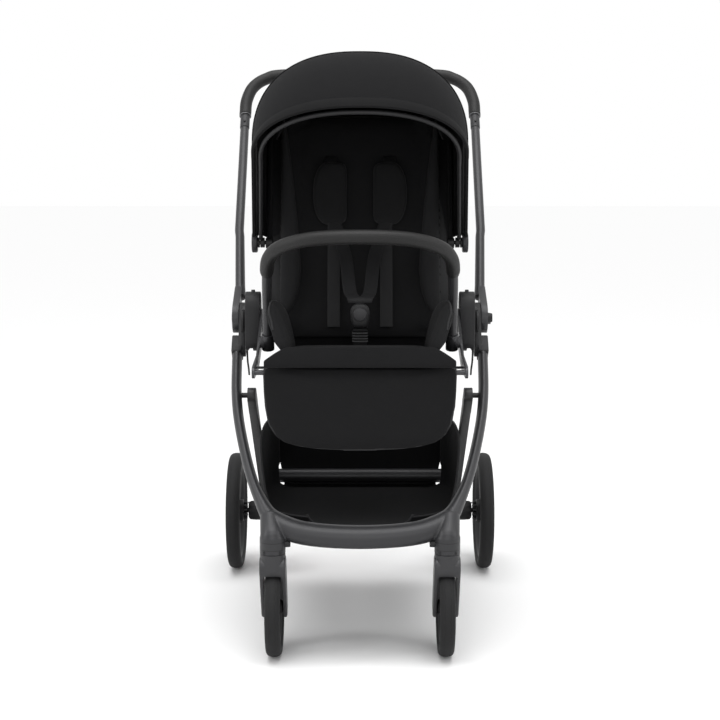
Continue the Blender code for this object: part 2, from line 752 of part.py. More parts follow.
half, middle, other = handle_points()
bend = [
    half[0], *smooth_path([half[0] + ARM_DIRECTION * 0.008, *half[1:], middle, *other[:-1],
                           other[-1] + ARM_DIRECTION * 0.008], 2), other[-1],
]
HANDLE_MIDDLE = middle
inner_path = [
    on_arm(ARM_X_TOP, ARM_LENGTH - INNER_TUBE_INSERT), *bend,
    on_arm(-ARM_X_TOP, ARM_LENGTH - INNER_TUBE_INSERT),
]
finish(tube("handle_tube", inner_path, INNER_TUBE_RADIUS, 2), GUNMETAL, HANDLE)
grip = tube("handle_grip", bend, GRIP_RADIUS, 3)
core_start = bend[0] - ARM_DIRECTION * 0.006
core_end = bend[-1] - ARM_DIRECTION * 0.006
cut(
    grip,
    tube("grip_bore", [core_start, *bend, core_end], INNER_TUBE_RADIUS + 0.0008, 2),
    block(
        "button_pocket", HANDLE_MIDDLE + Vector((-0.0175, -0.020, -0.0065)),
        HANDLE_MIDDLE + Vector((0.0175, -0.0078, 0.0065)),
    ),
)
finish(grip, LEATHER, HANDLE)
BUTTON = carrier("handle_button_slide", HANDLE_MIDDLE, HANDLE)
finish(block(
    "handle_button", HANDLE_MIDDLE + Vector((-0.0170, -0.0150, -0.0060)),
    HANDLE_MIDDLE + Vector((0.0170, -0.0105, 0.0060)), 0.0015,
), LIGHT_PLASTIC, BUTTON)


# Rear frame: two straight legs, the cross tube, axle housings and the brake

for side, sign in SIDES:
    leg_in = sign * (REAR_LEG_X - REAR_LEG_WIDTH / 2)
    leg_out = sign * REAR_LEG_OUTER
    leg = slab(
        f"rear_leg_{side}",
        rounded(REAR_PIVOT, REAR_LEG_RADIUS, REAR_AXLE, AXLE_BOSS_RADIUS, 8),
        leg_in, leg_out, 0.0035, 2,
    )
    trim_a = REAR_PIVOT + REAR_DIRECTION * 0.05
    trim_b = REAR_AXLE - REAR_DIRECTION * 0.055
    normal = Vector((0, -REAR_DIRECTION.z, REAR_DIRECTION.y))
    for face in (1, -1):
        cut(leg, slab(
            f"leg_waist_{side}_{face}",
            [
                trim_a + normal * (face * REAR_LEG_WAIST),
                trim_b + normal * (face * REAR_LEG_WAIST),
                trim_b + REAR_DIRECTION * 0.02 + normal * (face * 0.035),
                trim_a - REAR_DIRECTION * 0.02 + normal * (face * 0.035),
            ],
            leg_in - sign * 0.01, leg_out + sign * 0.01,
        ))
    fuse(leg, pin(
        f"rear_pivot_{side}", REAR_PIVOT + Vector((leg_out - sign * 0.004, 0, 0)),
        REAR_PIVOT + Vector((sign * (LEG_X_TOP + 0.0005), 0, 0)), AXLE_RADIUS,
    ))
    if sign < 0:
        fuse(leg, pin(
            "pedal_axle", REAR_AXLE + Vector((leg_in - 0.004, -PEDAL_SETFORWARD, PEDAL_DROP)),
            REAR_AXLE + Vector((leg_in + PEDAL_WIDTH + 0.0023, -PEDAL_SETFORWARD, PEDAL_DROP)),
            PEDAL_AXLE_RADIUS,
        ), block(
            "pedal_ear", REAR_AXLE + Vector((leg_in - 0.008, -PEDAL_SETFORWARD - 0.011, 0.0)),
            REAR_AXLE + Vector((leg_in - 0.001, -PEDAL_SETFORWARD + 0.011, PEDAL_DROP + 0.009)),
            0.002, 1,
        ))
    finish(leg, GUNMETAL, REAR_FRAME)

    axle_end = REAR_WHEEL_X + AXLE_REACH
    housing = turned(
        f"axle_housing_{side}",
        [
            (AXLE_HOUSING_RADIUS - 0.005, AXLE_HOUSING_X),
            (AXLE_HOUSING_RADIUS - 0.001, AXLE_HOUSING_X - 0.004),
            (AXLE_HOUSING_RADIUS, AXLE_HOUSING_X - 0.016),
            (AXLE_HOUSING_RADIUS, REAR_LEG_OUTER + SEAT_GAP), (0.0, REAR_LEG_OUTER + SEAT_GAP),
            (0.0, axle_end), (AXLE_RADIUS - 0.0008, axle_end), (AXLE_RADIUS, axle_end - 0.001),
            (AXLE_RADIUS, AXLE_HOUSING_X),
        ],
        REAR_AXLE, sign, 24,
    )
    orbit = REAR_AXLE + Vector((0, 0, BRAKE_PIN_ORBIT))
    pin_start = REAR_LEG_OUTER + SEAT_GAP + BRAKE_PIN_START
    cut(housing, pin(
        f"pin_bore_{side}", orbit + Vector((sign * (pin_start - SEAT_GAP), 0, 0)),
        orbit + Vector((sign * (AXLE_HOUSING_X + 0.010), 0, 0)), BRAKE_PIN_RADIUS + SEAT_GAP, 12,
    ))
    finish(housing, DARK_PLASTIC, REAR_FRAME)
    pin_place = orbit + Vector((sign * pin_start, 0, 0))
    brake = carrier(f"brake_pin_slide_{side}", pin_place, REAR_FRAME)
    finish(pin(
        f"brake_pin_{side}", pin_place,
        orbit + Vector((sign * (BRAKE_RING_X - BRAKE_PIN_PLAY), 0, 0)), BRAKE_PIN_RADIUS, 12,
    ), BRIGHT_METAL, brake)

bracket_x = REAR_LEG_X - REAR_LEG_WIDTH / 2 - SEAT_GAP
cross = pin(
    "rear_cross_tube", CROSS_TUBE - Vector((bracket_x - 0.004, 0, 0)),
    CROSS_TUBE + Vector((bracket_x - 0.004, 0, 0)), CROSS_TUBE_RADIUS, 18,
)
for side, sign in SIDES:
    end = slab(
        f"cross_bracket_{side}",
        rounded(
            CROSS_TUBE - REAR_DIRECTION * 0.006, 0.0165, CROSS_TUBE + REAR_DIRECTION * 0.010,
            0.0165, 6,
        ),
        sign * bracket_x, sign * (bracket_x - 0.019), 0.002,
    )
    fuse(cross, end)
finish(cross, GUNMETAL, REAR_FRAME)

pedal_axis = REAR_AXLE + Vector((
    -(REAR_LEG_X - REAR_LEG_WIDTH / 2), -PEDAL_SETFORWARD, PEDAL_DROP,
))
PEDAL = carrier("brake_pedal_axis", pedal_axis, REAR_FRAME)
barrel_from = pedal_axis + Vector((0.001 + SEAT_GAP, 0, 0))
barrel_to = barrel_from + Vector((PEDAL_WIDTH, 0, 0))
pedal = pin("brake_pedal", barrel_from, barrel_to, 0.0085, 18)
tread = slab(
    "pedal_tread",
    rounded(
        pedal_axis + Vector((0, 0.006, 0.001)), 0.0050,
        pedal_axis + Vector((0, PEDAL_REACH, 0.006)), 0.0040, 5,
    ),
    barrel_from.x, barrel_to.x, 0.0015,
)
fuse(pedal, tread)
cut(pedal, pin(
    "pedal_bore", pedal_axis - Vector((0.01, 0, 0)), barrel_to + Vector((0.0025, 0, 0)),
    PEDAL_AXLE_RADIUS + SEAT_GAP,
))
finish(pedal, RED_PLASTIC, PEDAL)


# Wheels: tyre, rim with five windows, brake ring on the rear hubs

WHEEL_STEPS = 30


def tyre_profile(rolling_radius, seat_radius, width):
    radius = rolling_radius / math.cos(math.pi / WHEEL_STEPS)
    half = width / 2
    crown = half * 0.85
    return [
        (seat_radius, half * 0.62), (radius - crown, half), (radius - crown * 0.26, half * 0.78),
        (radius, half * 0.28), (radius, -half * 0.28), (radius - crown * 0.26, -half * 0.78),
        (radius - crown, -half), (seat_radius, -half * 0.62),
    ]


def rim_profile(radius, width, hub_radius, hub_half, bore):
    lip = width * 0.36
    web = width * 0.17
    return [
        (bore, hub_half), (hub_radius, hub_half), (hub_radius + 0.002, web),
        (radius - 0.008, web), (radius, lip), (radius, -lip), (radius - 0.008, -web),
        (hub_radius + 0.002, -web), (hub_radius, -hub_half), (bore, -hub_half),
    ]


def rim_windows(rim, name, centre, inner, outer, half_width, count=5):
    """Rounded windows between the spokes."""
    for i in range(count):
        turn = 360 * i / count + 90
        spread = 360 / count / 2 * 0.72
        arc = [(inner, -0.55), (inner, 0.55), (outer - 0.003, 0.97), (outer, 0.40),
               (outer, -0.40), (outer - 0.003, -0.97)]
        outline = [centre + in_plane(turn + spread * share) * radius for radius, share in arc]
        window = slab(f"{name}_window_{i}", outline, centre.x - half_width, centre.x + half_width)
        cut(rim, window)


for side, sign in SIDES:
    swivel = at(sign * FRONT_WHEEL_X, -CASTER_TRAIL, SOCKET_BOTTOM)
    axle = at(sign * FRONT_WHEEL_X, 0, FRONT_WHEEL_RADIUS)
    caster = carrier(f"caster_{side}", swivel, CHASSIS)
    spin = carrier(f"front_wheel_{side}", axle, caster)
    fork_inner = FRONT_TYRE_WIDTH / 2 + FORK_PLAY
    fork_outer = fork_inner + FORK_LEG_THICKNESS
    crown_top = SOCKET_BOTTOM - SEAT_GAP
    crown_bottom = FRONT_WHEEL_RADIUS + 0.062
    fork = pin(
        f"caster_fork_{side}", Vector((swivel.x, swivel.y, crown_bottom)),
        Vector((swivel.x, swivel.y, crown_top)), SOCKET_RADIUS - SEAT_GAP, 24,
    )
    for face in (1, -1):
        fuse(fork, slab(
            f"fork_leg_{side}_{face}",
            rounded(
                Vector((0, swivel.y + 0.002, crown_top - 0.026)), CROWN_RADIUS,
                Vector((0, axle.y, axle.z)), FORK_END_RADIUS, 6,
            ),
            swivel.x + face * (fork_inner - 0.001), swivel.x + face * fork_outer, 0.002,
        ))
    stem_top = Vector((swivel.x, swivel.y, SOCKET_TOP - 0.012))
    fuse(fork, pin(f"stem_{side}", swivel - Vector((0, 0, 0.01)), stem_top, STEM_RADIUS))
    cut(fork, pin(
        f"wheel_slot_{side}", axle - Vector((fork_inner, 0, 0)), axle + Vector((fork_inner, 0, 0)),
        FRONT_WHEEL_RADIUS + WHEEL_GAP, 36,
    ))
    bolt_reach = Vector((fork_outer + 0.0005, 0, 0))
    fuse(fork, pin(f"axle_bolt_{side}", axle - bolt_reach, axle + bolt_reach, 0.0045), pin(
        f"axle_head_{side}", axle - Vector((sign * (fork_outer - 0.001), 0, 0)),
        axle - Vector((sign * (fork_outer + 0.0025), 0, 0)), 0.0065,
    ))
    finish(fork, DARK_PLASTIC, caster)

    tyre = turned(
        f"front_tyre_{side}",
        tyre_profile(FRONT_WHEEL_RADIUS, FRONT_RIM_RADIUS, FRONT_TYRE_WIDTH),
        axle, sign, WHEEL_STEPS,
    )
    finish(tyre, RUBBER, spin, 50)
    rim = turned(
        f"front_rim_{side}",
        rim_profile(
            FRONT_RIM_RADIUS - SEAT_GAP, FRONT_TYRE_WIDTH, FRONT_HUB_RADIUS, fork_inner - 0.0012,
            0.0045 + SEAT_GAP,
        ),
        axle, sign, WHEEL_STEPS,
    )
    rim_windows(
        rim, f"front_rim_{side}", axle, FRONT_HUB_RADIUS + 0.008, FRONT_RIM_RADIUS - 0.014, 0.02,
    )
    finish(rim, DARK_PLASTIC, spin)

    socket = pin(
        f"caster_socket_{side}", swivel, Vector((swivel.x, swivel.y, SOCKET_TOP)), SOCKET_RADIUS, 24,
        SOCKET_RADIUS - 0.003,
    )
    lock_line = Vector((swivel.x, swivel.y, LOCK_HEIGHT))
    inward = Vector((-sign, 0, 0))
    boss = pin(
        f"lock_boss_{side}", lock_line + inward * 0.016, lock_line + inward * 0.0275,
        LOCK_RADIUS + 0.0025, 16,
    )
    fuse(socket, boss)
    cut(
        socket, front_frame(f"loop_seat_{side}", SEAT_GAP),
        pin(f"stem_bore_{side}", swivel - Vector((0, 0, 0.01)),
            stem_top + Vector((0, 0, RUN_GAP)), STEM_RADIUS + SEAT_GAP),
        pin(f"lock_bore_{side}", lock_line + inward * 0.0145, lock_line + inward * 0.040,
            LOCK_RADIUS + SEAT_GAP),
    )
    finish(socket, GUNMETAL, CHASSIS)
    lock = carrier(f"swivel_lock_slide_{side}", lock_line + inward * 0.030, CHASSIS)
    finish(pin(
        f"swivel_lock_{side}", lock_line + inward * 0.0178, lock_line + inward * 0.0315,
        LOCK_RADIUS, 16, LOCK_RADIUS - 0.001,
    ), DARK_PLASTIC, lock)

    rear = Vector((sign * REAR_WHEEL_X, REAR_AXLE.y, REAR_AXLE.z))
    spin = carrier(f"rear_wheel_{side}", rear, REAR_FRAME)
    tyre = turned(
        f"rear_tyre_{side}", tyre_profile(REAR_WHEEL_RADIUS, REAR_RIM_RADIUS, REAR_TYRE_WIDTH),
        rear, sign, WHEEL_STEPS,
    )
    finish(tyre, RUBBER, spin, 50)
    rim = turned(
        f"rear_rim_{side}",
        rim_profile(
            REAR_RIM_RADIUS - SEAT_GAP, REAR_TYRE_WIDTH, REAR_HUB_RADIUS, REAR_HUB_HALF, 0.0,
        ),
        rear, sign, WHEEL_STEPS,
    )
    rim_windows(
        rim, f"rear_rim_{side}", rear, REAR_HUB_RADIUS + 0.009, REAR_RIM_RADIUS - 0.015, 0.02,
    )
    ring = []
    for i in range(BRAKE_TEETH):
        middle_turn = 360 * (i + 0.5) / BRAKE_TEETH + 90
        for turn, radius in ((-6.0, 0.0128), (-3.2, 0.0212), (3.2, 0.0212), (6.0, 0.0128)):
            ring.append(REAR_AXLE + in_plane(middle_turn + turn) * radius)
    fuse(rim, slab(
        f"brake_ring_{side}", ring, sign * (REAR_WHEEL_X - REAR_HUB_HALF + 0.001),
        sign * BRAKE_RING_X,
    ))
    cut(rim, pin(
        f"axle_bore_{side}", REAR_AXLE + Vector((sign * (BRAKE_RING_X - 0.010), 0, 0)),
        REAR_AXLE + Vector((sign * (REAR_WHEEL_X + AXLE_REACH + RUN_GAP), 0, 0)),
        AXLE_RADIUS + SEAT_GAP,
    ))
    finish(rim, DARK_PLASTIC, spin)


# Basket: a fabric tray between the front and rear frames

BASKET_PLAN = (
    # share of the basket's length, distance in from the front leg's top
    (0.0, 0.1425), (0.0162, 0.1175), (0.0402, 0.0945), (0.0861, 0.0765), (0.1692, 0.0635),
    (0.3441, 0.0505), (0.8907, 0.0495), (1.0, 0.0665),
)


def basket_solid():
    front = BASKET_SETBACK - CASTER_TRAIL
    rear = CROSS_TUBE.y - FRONT_AXLE_Y - CROSS_TUBE_RADIUS - RUN_GAP
    floor_front = LOOP_HEIGHT + BASKET_FRONT_FLOOR
    floor_rear = CROSS_TUBE.z + BASKET_REAR_FLOOR
    rim_front = LOOP_HEIGHT + BASKET_FRONT_RIM
    rim_rear = CROSS_TUBE.z + BASKET_REAR_RIM
    outer, inner = [], []
    for inset, target in ((0.0, outer), (BASKET_WALL, inner)):
        for share, narrower in BASKET_PLAN:
            back = front + (rear - front) * share + inset * (1 - 2 * share)
            half = LEG_X_TOP - narrower - inset
            floor = floor_front + (floor_rear - floor_front) * share + inset
            rim = rim_front + (rim_rear - rim_front) * share
            target.append([
                at(-half, back, rim), at(-half + 0.002, back, floor + 0.012),
                at(-half + 0.016, back, floor), at(half - 0.016, back, floor),
                at(half - 0.002, back, floor + 0.012), at(half, back, rim),
            ])
    shape = bmesh.new()
    skins = []
    for stations in (outer, inner):
        skins.append([[shape.verts.new(place) for place in row] for row in stations])
    for rows in skins:
        for first, second in zip(rows, rows[1:]):
            for i in range(5):
                shape.faces.new((first[i], first[i + 1], second[i + 1], second[i]))
        shape.faces.new(rows[0])
        shape.faces.new(rows[-1])
    for side in (0, 5):
        for i in range(len(BASKET_PLAN) - 1):
            shape.faces.new((
                skins[0][i][side], skins[0][i + 1][side], skins[1][i + 1][side], skins[1][i][side],
            ))
    for end in (0, -1):
        shape.faces.new((skins[0][end][0], skins[0][end][5], skins[1][end][5], skins[1][end][0]))
    return from_bmesh("basket", shape)


finish(basket_solid(), FABRIC, CHASSIS)


# Cables from the hinge housings to the rear pivots

CABLE_ROUTE = (
    # distances from the housing's inner face and the fold hinge: in, forward, down
    (0.0025, 0.0180, 0.0400), (0.0028, 0.0350, 0.0600), (0.0050, 0.0560, 0.0780),
    (0.0085, 0.0770, 0.0910), (0.0105, 0.0940, 0.0990),
)
for side, sign in SIDES:
    route = [
        HINGE + Vector((sign * (HOUSING_INNER - inward), -forward, -down))
        for inward, forward, down in CABLE_ROUTE
    ]
    finish(tube(f"brake_cable_{side}", smooth_path(route, 3), CABLE_RADIUS), DARK_PLASTIC, CHASSIS)


# Seat hubs and frame

HUB_INNER = PLATE_OUTER + SEAT_GAP
HUB_OUTER = HUB_INNER + HUB_WIDTH
for side, sign in SIDES:
    hub_centre = at(0, HUB_BACK, HINGE_HEIGHT)
    reach = HUB_HALF_HEIGHT - HUB_HALF_DEPTH
    hub = slab(
        f"seat_hub_{side}",
        rounded(
            hub_centre - Vector((0, 0, reach)), HUB_HALF_DEPTH,
            hub_centre + Vector((0, 0, reach)), HUB_HALF_DEPTH, 9,
        ),
        sign * HUB_INNER, sign * HUB_OUTER, 0.003, 2,
    )
    play = RUN_GAP
    neck_pocket = block(
        f"neck_pocket_{side}",
        hub_centre + Vector((
            sign * (HOUSING_INNER + 0.005), -0.008 - play, -HUB_HALF_HEIGHT - 0.01,
        )),
        hub_centre + Vector((
            sign * (HOUSING_INNER - 0.0120), 0.008 + play, POST_HEIGHT / 2 + SEAT_GAP,
        )),
    )
    head_pocket = block(
        f"head_pocket_{side}",
        hub_centre + Vector((
            sign * (HOUSING_INNER - 0.0095 + play), -0.017 - play, -HUB_HALF_HEIGHT - 0.01,
        )),
        hub_centre + Vector((
            sign * (HOUSING_INNER - 0.0165 - play), 0.017 + play, POST_HEIGHT / 2 + SEAT_GAP,
        )),
    )
    button_x = sign * (HUB_INNER + HUB_WIDTH / 2)
    button_top = hub_centre.z + HUB_HALF_HEIGHT
    button_bore = pin(
        f"release_bore_{side}", Vector((button_x, hub_centre.y, button_top - 0.010)),
        Vector((button_x, hub_centre.y, button_top + 0.01)), 0.0046,
    )
    cut(hub, neck_pocket, head_pocket, button_bore)
    finish(hub, DARK_PLASTIC, SEAT)
    release = carrier(f"seat_release_slide_{side}", Vector((button_x, hub_centre.y, button_top)), SEAT)
    finish(pin(
        f"seat_release_{side}", Vector((button_x, hub_centre.y, button_top - 0.006)),
        Vector((button_x, hub_centre.y, button_top + 0.0035)), 0.0043, 16, 0.0036,
    ), LIGHT_PLASTIC, release)


board_front, board_rear = SEAT_FRONT_BACK + 0.054, SEAT_REAR_BACK - 0.027
board_under = 0.005
frame = slab(
    "seat_frame",
    [
        at(0, board_front, seat_base(board_front) - SEAT_GAP - 0.0004),
        at(0, board_rear, seat_base(board_rear) - SEAT_GAP - 0.0004),
        at(0, board_rear, seat_base(board_rear) - board_under),
        at(0, board_front, seat_base(board_front) - board_under),
    ],
    -PLATE_INNER - 0.002, PLATE_INNER + 0.002,
)
for side, sign in SIDES:
    inner = sign * PLATE_INNER
    outer = sign * PLATE_OUTER
    rear_bar = slab(
        f"plate_rear_{side}", rounded(at(0, HUB_BACK, HINGE_HEIGHT), 0.024, KNEE, 0.0125, 6),
        inner, outer,
    )
    front_bar = slab(
        f"plate_front_{side}",
        rounded(KNEE, 0.0125, at(0, CALF_PIVOT_BACK, CALF_PIVOT_HEIGHT), 0.0105, 6), inner, outer,
    )
    calf_stub = pin(
        f"calf_stub_{side}", at(sign * (CALF_HALF_WIDTH - 0.010), CALF_PIVOT_BACK, CALF_PIVOT_HEIGHT),
        at(sign * (PLATE_INNER + 0.002), CALF_PIVOT_BACK, CALF_PIVOT_HEIGHT), 0.0045,
    )
    recline_stub = pin(
        f"recline_stub_{side}", RECLINE + Vector((sign * (BACK_TUBE_X - 0.005), 0, 0)),
        RECLINE + Vector((sign * (PLATE_INNER + 0.002), 0, 0)), 0.0050,
    )
    sleeve_low = BUMPER_FOOT + BUMPER_DIRECTION * -0.002 + Vector((sign * BUMPER_X, 0, 0))
    sleeve = pin(
        f"bumper_sleeve_{side}", sleeve_low, sleeve_low + BUMPER_DIRECTION * SLEEVE_LENGTH,
        BUMPER_TUBE_RADIUS + SEAT_GAP + SLEEVE_WALL, 14,
    )
    web = block(
        f"sleeve_web_{side}", BUMPER_FOOT + Vector((sign * (BUMPER_X + 0.006), -0.014, 0.002)),
        BUMPER_FOOT + Vector((sign * (PLATE_INNER + 0.002), 0.004, 0.022)),
    )
    fuse(frame, rear_bar, front_bar, calf_stub, recline_stub, sleeve, web)
    cut(frame, pin(
        f"sleeve_bore_{side}", sleeve_low - BUMPER_DIRECTION * 0.02,
        sleeve_low + BUMPER_DIRECTION * (SLEEVE_LENGTH + 0.02), BUMPER_TUBE_RADIUS + SEAT_GAP, 14,
    ))
finish(frame, BRIGHT_METAL, SEAT)


# Seat cushion with its hip wings

WING_START = 0.72


def seat_middle(a, b):
    back = SEAT_FRONT_BACK + (SEAT_REAR_BACK - SEAT_FRONT_BACK) * (b + 1) / 2
    height = seat_base(back) + SEAT_THICKNESS / 2
    side = max(0.0, (abs(a) - WING_START) / (1 - WING_START))
    turn = min(1.0, side * 2.0) * math.pi / 2
    corner = 0.022
    flat = SEAT_HALF_WIDTH - SEAT_THICKNESS * 0.32 - corner
    share = (back - SEAT_FRONT_BACK) / (SEAT_REAR_BACK - SEAT_FRONT_BACK)
    rise = WING_HEIGHT * max(0.02, math.sin(math.pi * min(1, share * 1.12 + 0.05)) ** 0.8)
    if side <= 0:
        return at(flat * a / WING_START, back, height)
    x = flat + corner * math.sin(turn)
    z = height + corner * (1 - math.cos(turn)) * min(1, rise / 0.03)
    if side > 0.5:
        z += (rise - 0.5 * corner) * (side - 0.5) * 2
    return at(math.copysign(x, a), back, z)


def seat_upper(a, b):
    side = max(0.0, (abs(a) - WING_START) / (1 - WING_START))
    edge = 1 - abs(b) ** 6 * 0.35
    return (SEAT_THICKNESS / 2 * (1 - 0.40 * min(1, side * 1.6)) * edge
            + SEAT_CROWN * (1 - side) * (1 - abs(b) ** 3))


def seat_lower(a, b):
    side = max(0.0, (abs(a) - WING_START) / (1 - WING_START))
    return SEAT_THICKNESS / 2 * (1 - 0.62 * min(1, side * 1.6))


finish(soft("seat_cushion", seat_middle, seat_upper, seat_lower, 20, 10), FABRIC, SEAT, 60)


# Calf rest: a padded board that turns on stubs in its top edge

def calf_middle(a, b):
    drop = CALF_LENGTH * (1 - b) / 2
    taper = CALF_HALF_WIDTH - 0.006 * (1 - b) / 2
    corner = 0.042
    low = max(0.0, drop - (CALF_LENGTH - corner)) / corner
    half = taper - corner * 0.75 * (1 - math.sqrt(max(0.0, 1 - low * low * 0.97)))
    sag = 0.006 * abs(a) ** 3 * (1 - b) / 2
    return at(half * a, CALF_PIVOT_BACK, CALF_PIVOT_HEIGHT - drop + sag)


def calf_face(a, b):
    return CALF_HALF_THICKNESS * (0.42 + 0.58 * (1 - abs(a) ** 5) * (1 - max(0.0, -b) ** 5))


def calf_back(a, b):
    return CALF_HALF_THICKNESS * (0.42 + 0.58 * (1 - abs(a) ** 5) * (1 - max(0.0, -b) ** 5)) * 0.9


calf = soft("calf_rest", calf_middle, calf_face, calf_back, 12, 8)
roll = pin(
    "calf_roll", at(-CALF_HALF_WIDTH, CALF_PIVOT_BACK, CALF_PIVOT_HEIGHT),
    at(CALF_HALF_WIDTH, CALF_PIVOT_BACK, CALF_PIVOT_HEIGHT), CALF_HALF_THICKNESS - 0.0002, 18,
)
fuse(calf, roll)
for side, sign in SIDES:
    cut(calf, pin(
        f"calf_bore_{side}", at(sign * (CALF_HALF_WIDTH - 0.0105), CALF_PIVOT_BACK, CALF_PIVOT_HEIGHT),
        at(sign * (CALF_HALF_WIDTH + 0.02), CALF_PIVOT_BACK, CALF_PIVOT_HEIGHT), 0.0048,
    ))
finish(calf, FABRIC, CALF, 60)


# Backrest: tube hoop, cushion with bolsters, straps, recline lever

def on_back(x, up, behind=0.0):
    return RECLINE + BACK_DIRECTION * up + BACK_BEHIND * behind + Vector((x, 0, 0))


half = [
    on_back(BACK_TUBE_X, 0), on_back(BACK_TUBE_X, BACK_LENGTH / 2),
    on_back(BACK_TUBE_X, BACK_LENGTH - 0.065), on_back(BACK_TUBE_X - 0.004, BACK_LENGTH - 0.045),
    on_back(BACK_TUBE_X - 0.016, BACK_LENGTH - 0.018),
    on_back(BACK_TUBE_X - 0.045, BACK_LENGTH - 0.003),
]
other = [Vector((-p.x, p.y, p.z)) for p in reversed(half)]
hoop = tube("back_frame", [*half, on_back(0, BACK_LENGTH), *other], BACK_TUBE_RADIUS, 2)
PIVOT_ON_TUBE = (CANOPY_PIVOT - RECLINE).dot(BACK_DIRECTION)
for side, sign in SIDES:
    eye = slab(
        f"recline_eye_{side}",
        rounded(RECLINE, 0.0115, on_back(0, 0.030), BACK_TUBE_RADIUS - 0.001, 7),
        sign * (BACK_TUBE_X - 0.0065), sign * (PLATE_INNER - SEAT_GAP),
    )
    canopy_pin = pin(
        f"canopy_pin_{side}", CANOPY_PIVOT + Vector((sign * BACK_TUBE_X, 0, 0)),
        CANOPY_PIVOT + Vector((sign * (CANOPY_PIVOT_X - 0.0042), 0, 0)), 0.0040,
    )
    mount = slab(
        f"canopy_mount_{side}",
        rounded(on_back(0, PIVOT_ON_TUBE), 0.0095, CANOPY_PIVOT, 0.0095, 6),
        sign * (BACK_TUBE_X - 0.005), sign * (BACK_TUBE_X + CANOPY_MOUNT_OUTSET), 0.0015,
    )
    fuse(hoop, eye, mount, canopy_pin)
    cut(hoop, pin(
        f"recline_bore_{side}", RECLINE + Vector((sign * (BACK_TUBE_X - 0.006), 0, 0)),
        RECLINE + Vector((sign * (PLATE_INNER + 0.01), 0, 0)), 0.0053,
    ))
BOARD_FRONT = -(BACK_PAD_OFFSET - BACK_PAD_THICKNESS / 2) + SEAT_GAP
for label, half_board, low, high in (
    ("lower", BACK_TUBE_X - 0.004, 0.036, BACK_LENGTH - 0.050),
    ("upper", BACK_PAD_HALF_WIDTH - 0.012, BACK_LENGTH - 0.055, BACK_LENGTH - 0.013),
):
    fuse(hoop, slab(
        f"back_board_{label}",
        [
            on_back(0, low, BOARD_FRONT), on_back(0, high, BOARD_FRONT),
            on_back(0, high, -0.0040), on_back(0, low, -0.0040),
        ],
        -half_board, half_board,
    ))
lever_block = slab(
    "lever_block",
    [
        on_back(0, BACK_LENGTH - 0.050, 0.002), on_back(0, BACK_LENGTH + 0.004, 0.002),
        on_back(0, BACK_LENGTH + 0.004, 0.016), on_back(0, BACK_LENGTH - 0.050, 0.016),
    ],
    -0.030, 0.030, 0.002,
)
lever_slot = slab(
    "lever_slot",
    [
        on_back(0, BACK_LENGTH - 0.070, 0.0085), on_back(0, BACK_LENGTH - 0.0065, 0.0085),
        on_back(0, BACK_LENGTH - 0.0065, 0.030), on_back(0, BACK_LENGTH - 0.070, 0.030),
    ],
    -0.0225, 0.0225,
)
fuse(hoop, lever_block)
cut(hoop, lever_slot)
finish(hoop, DARK_PLASTIC, BACKREST)
LEVER = carrier("recline_lever_slide", on_back(0, BACK_LENGTH - 0.045, 0.016), BACKREST)
finish(slab(
    "recline_lever",
    [
        on_back(0, BACK_LENGTH - 0.060, 0.0088), on_back(0, BACK_LENGTH - 0.019, 0.0088),
        on_back(0, BACK_LENGTH - 0.019, 0.0150), on_back(0, BACK_LENGTH - 0.046, 0.0150),
        on_back(0, BACK_LENGTH - 0.050, 0.0240), on_back(0, BACK_LENGTH - 0.060, 0.0240),
    ],
    -0.0222, 0.0222, 0.001,
), LIGHT_PLASTIC, LEVER)

BOLSTER_START = 0.66
PAD_TOP = BACK_LENGTH - 0.012
PAD_BOTTOM = -0.024


def pad_middle(a, b):
    up = PAD_BOTTOM + (PAD_TOP - PAD_BOTTOM) * (b + 1) / 2
    side = max(0.0, (abs(a) - BOLSTER_START) / (1 - BOLSTER_START))
    narrowing = max(0.0, (up - PAD_TOP + 0.05) / 0.05)
    half = BACK_PAD_HALF_WIDTH - 0.020 * narrowing ** 2
    x = half * a
    if side > 0:
        x = math.copysign(half * (BOLSTER_START + (1 - BOLSTER_START) * side ** 0.8), a)
    fold = BOLSTER_DEPTH * side * side * (1 - 0.3 * abs(b))
    return on_back(x, up, -BACK_PAD_OFFSET - fold)


def pad_thickness(a, b):
    return BACK_PAD_THICKNESS / 2 * (0.40 + 0.60 * edge_fall(a, b, 6))


back_cushion = soft("back_cushion", pad_middle, pad_thickness, pad_thickness, 14, 12)
finish(back_cushion, LINING, BACKREST, 60)


# Harness: shoulder straps with pads, crotch strap and buckle

def ribbon(name, path, widths, thicknesses):
    """A flat strap of varying width and thickness along a path."""
    rings = []
    for i, place in enumerate(path):
        run = (path[min(i + 1, len(path) - 1)] - path[max(i - 1, 0)]).normalized()
        across = Vector((1, 0, 0)) - run * run.x
        across.normalize()
        normal = run.cross(across)
        half, deep = widths[i] / 2, thicknesses[i] / 2
        rings.append([
            place + across * half + normal * deep * 0.5, place + across * half * 0.7 + normal * deep,
            place - across * half * 0.7 + normal * deep, place - across * half + normal * deep * 0.5,
            place - across * half - normal * deep * 0.5, place - across * half * 0.7 - normal * deep,
            place + across * half * 0.7 - normal * deep, place + across * half - normal * deep * 0.5,
        ])
    return loft(name, rings)


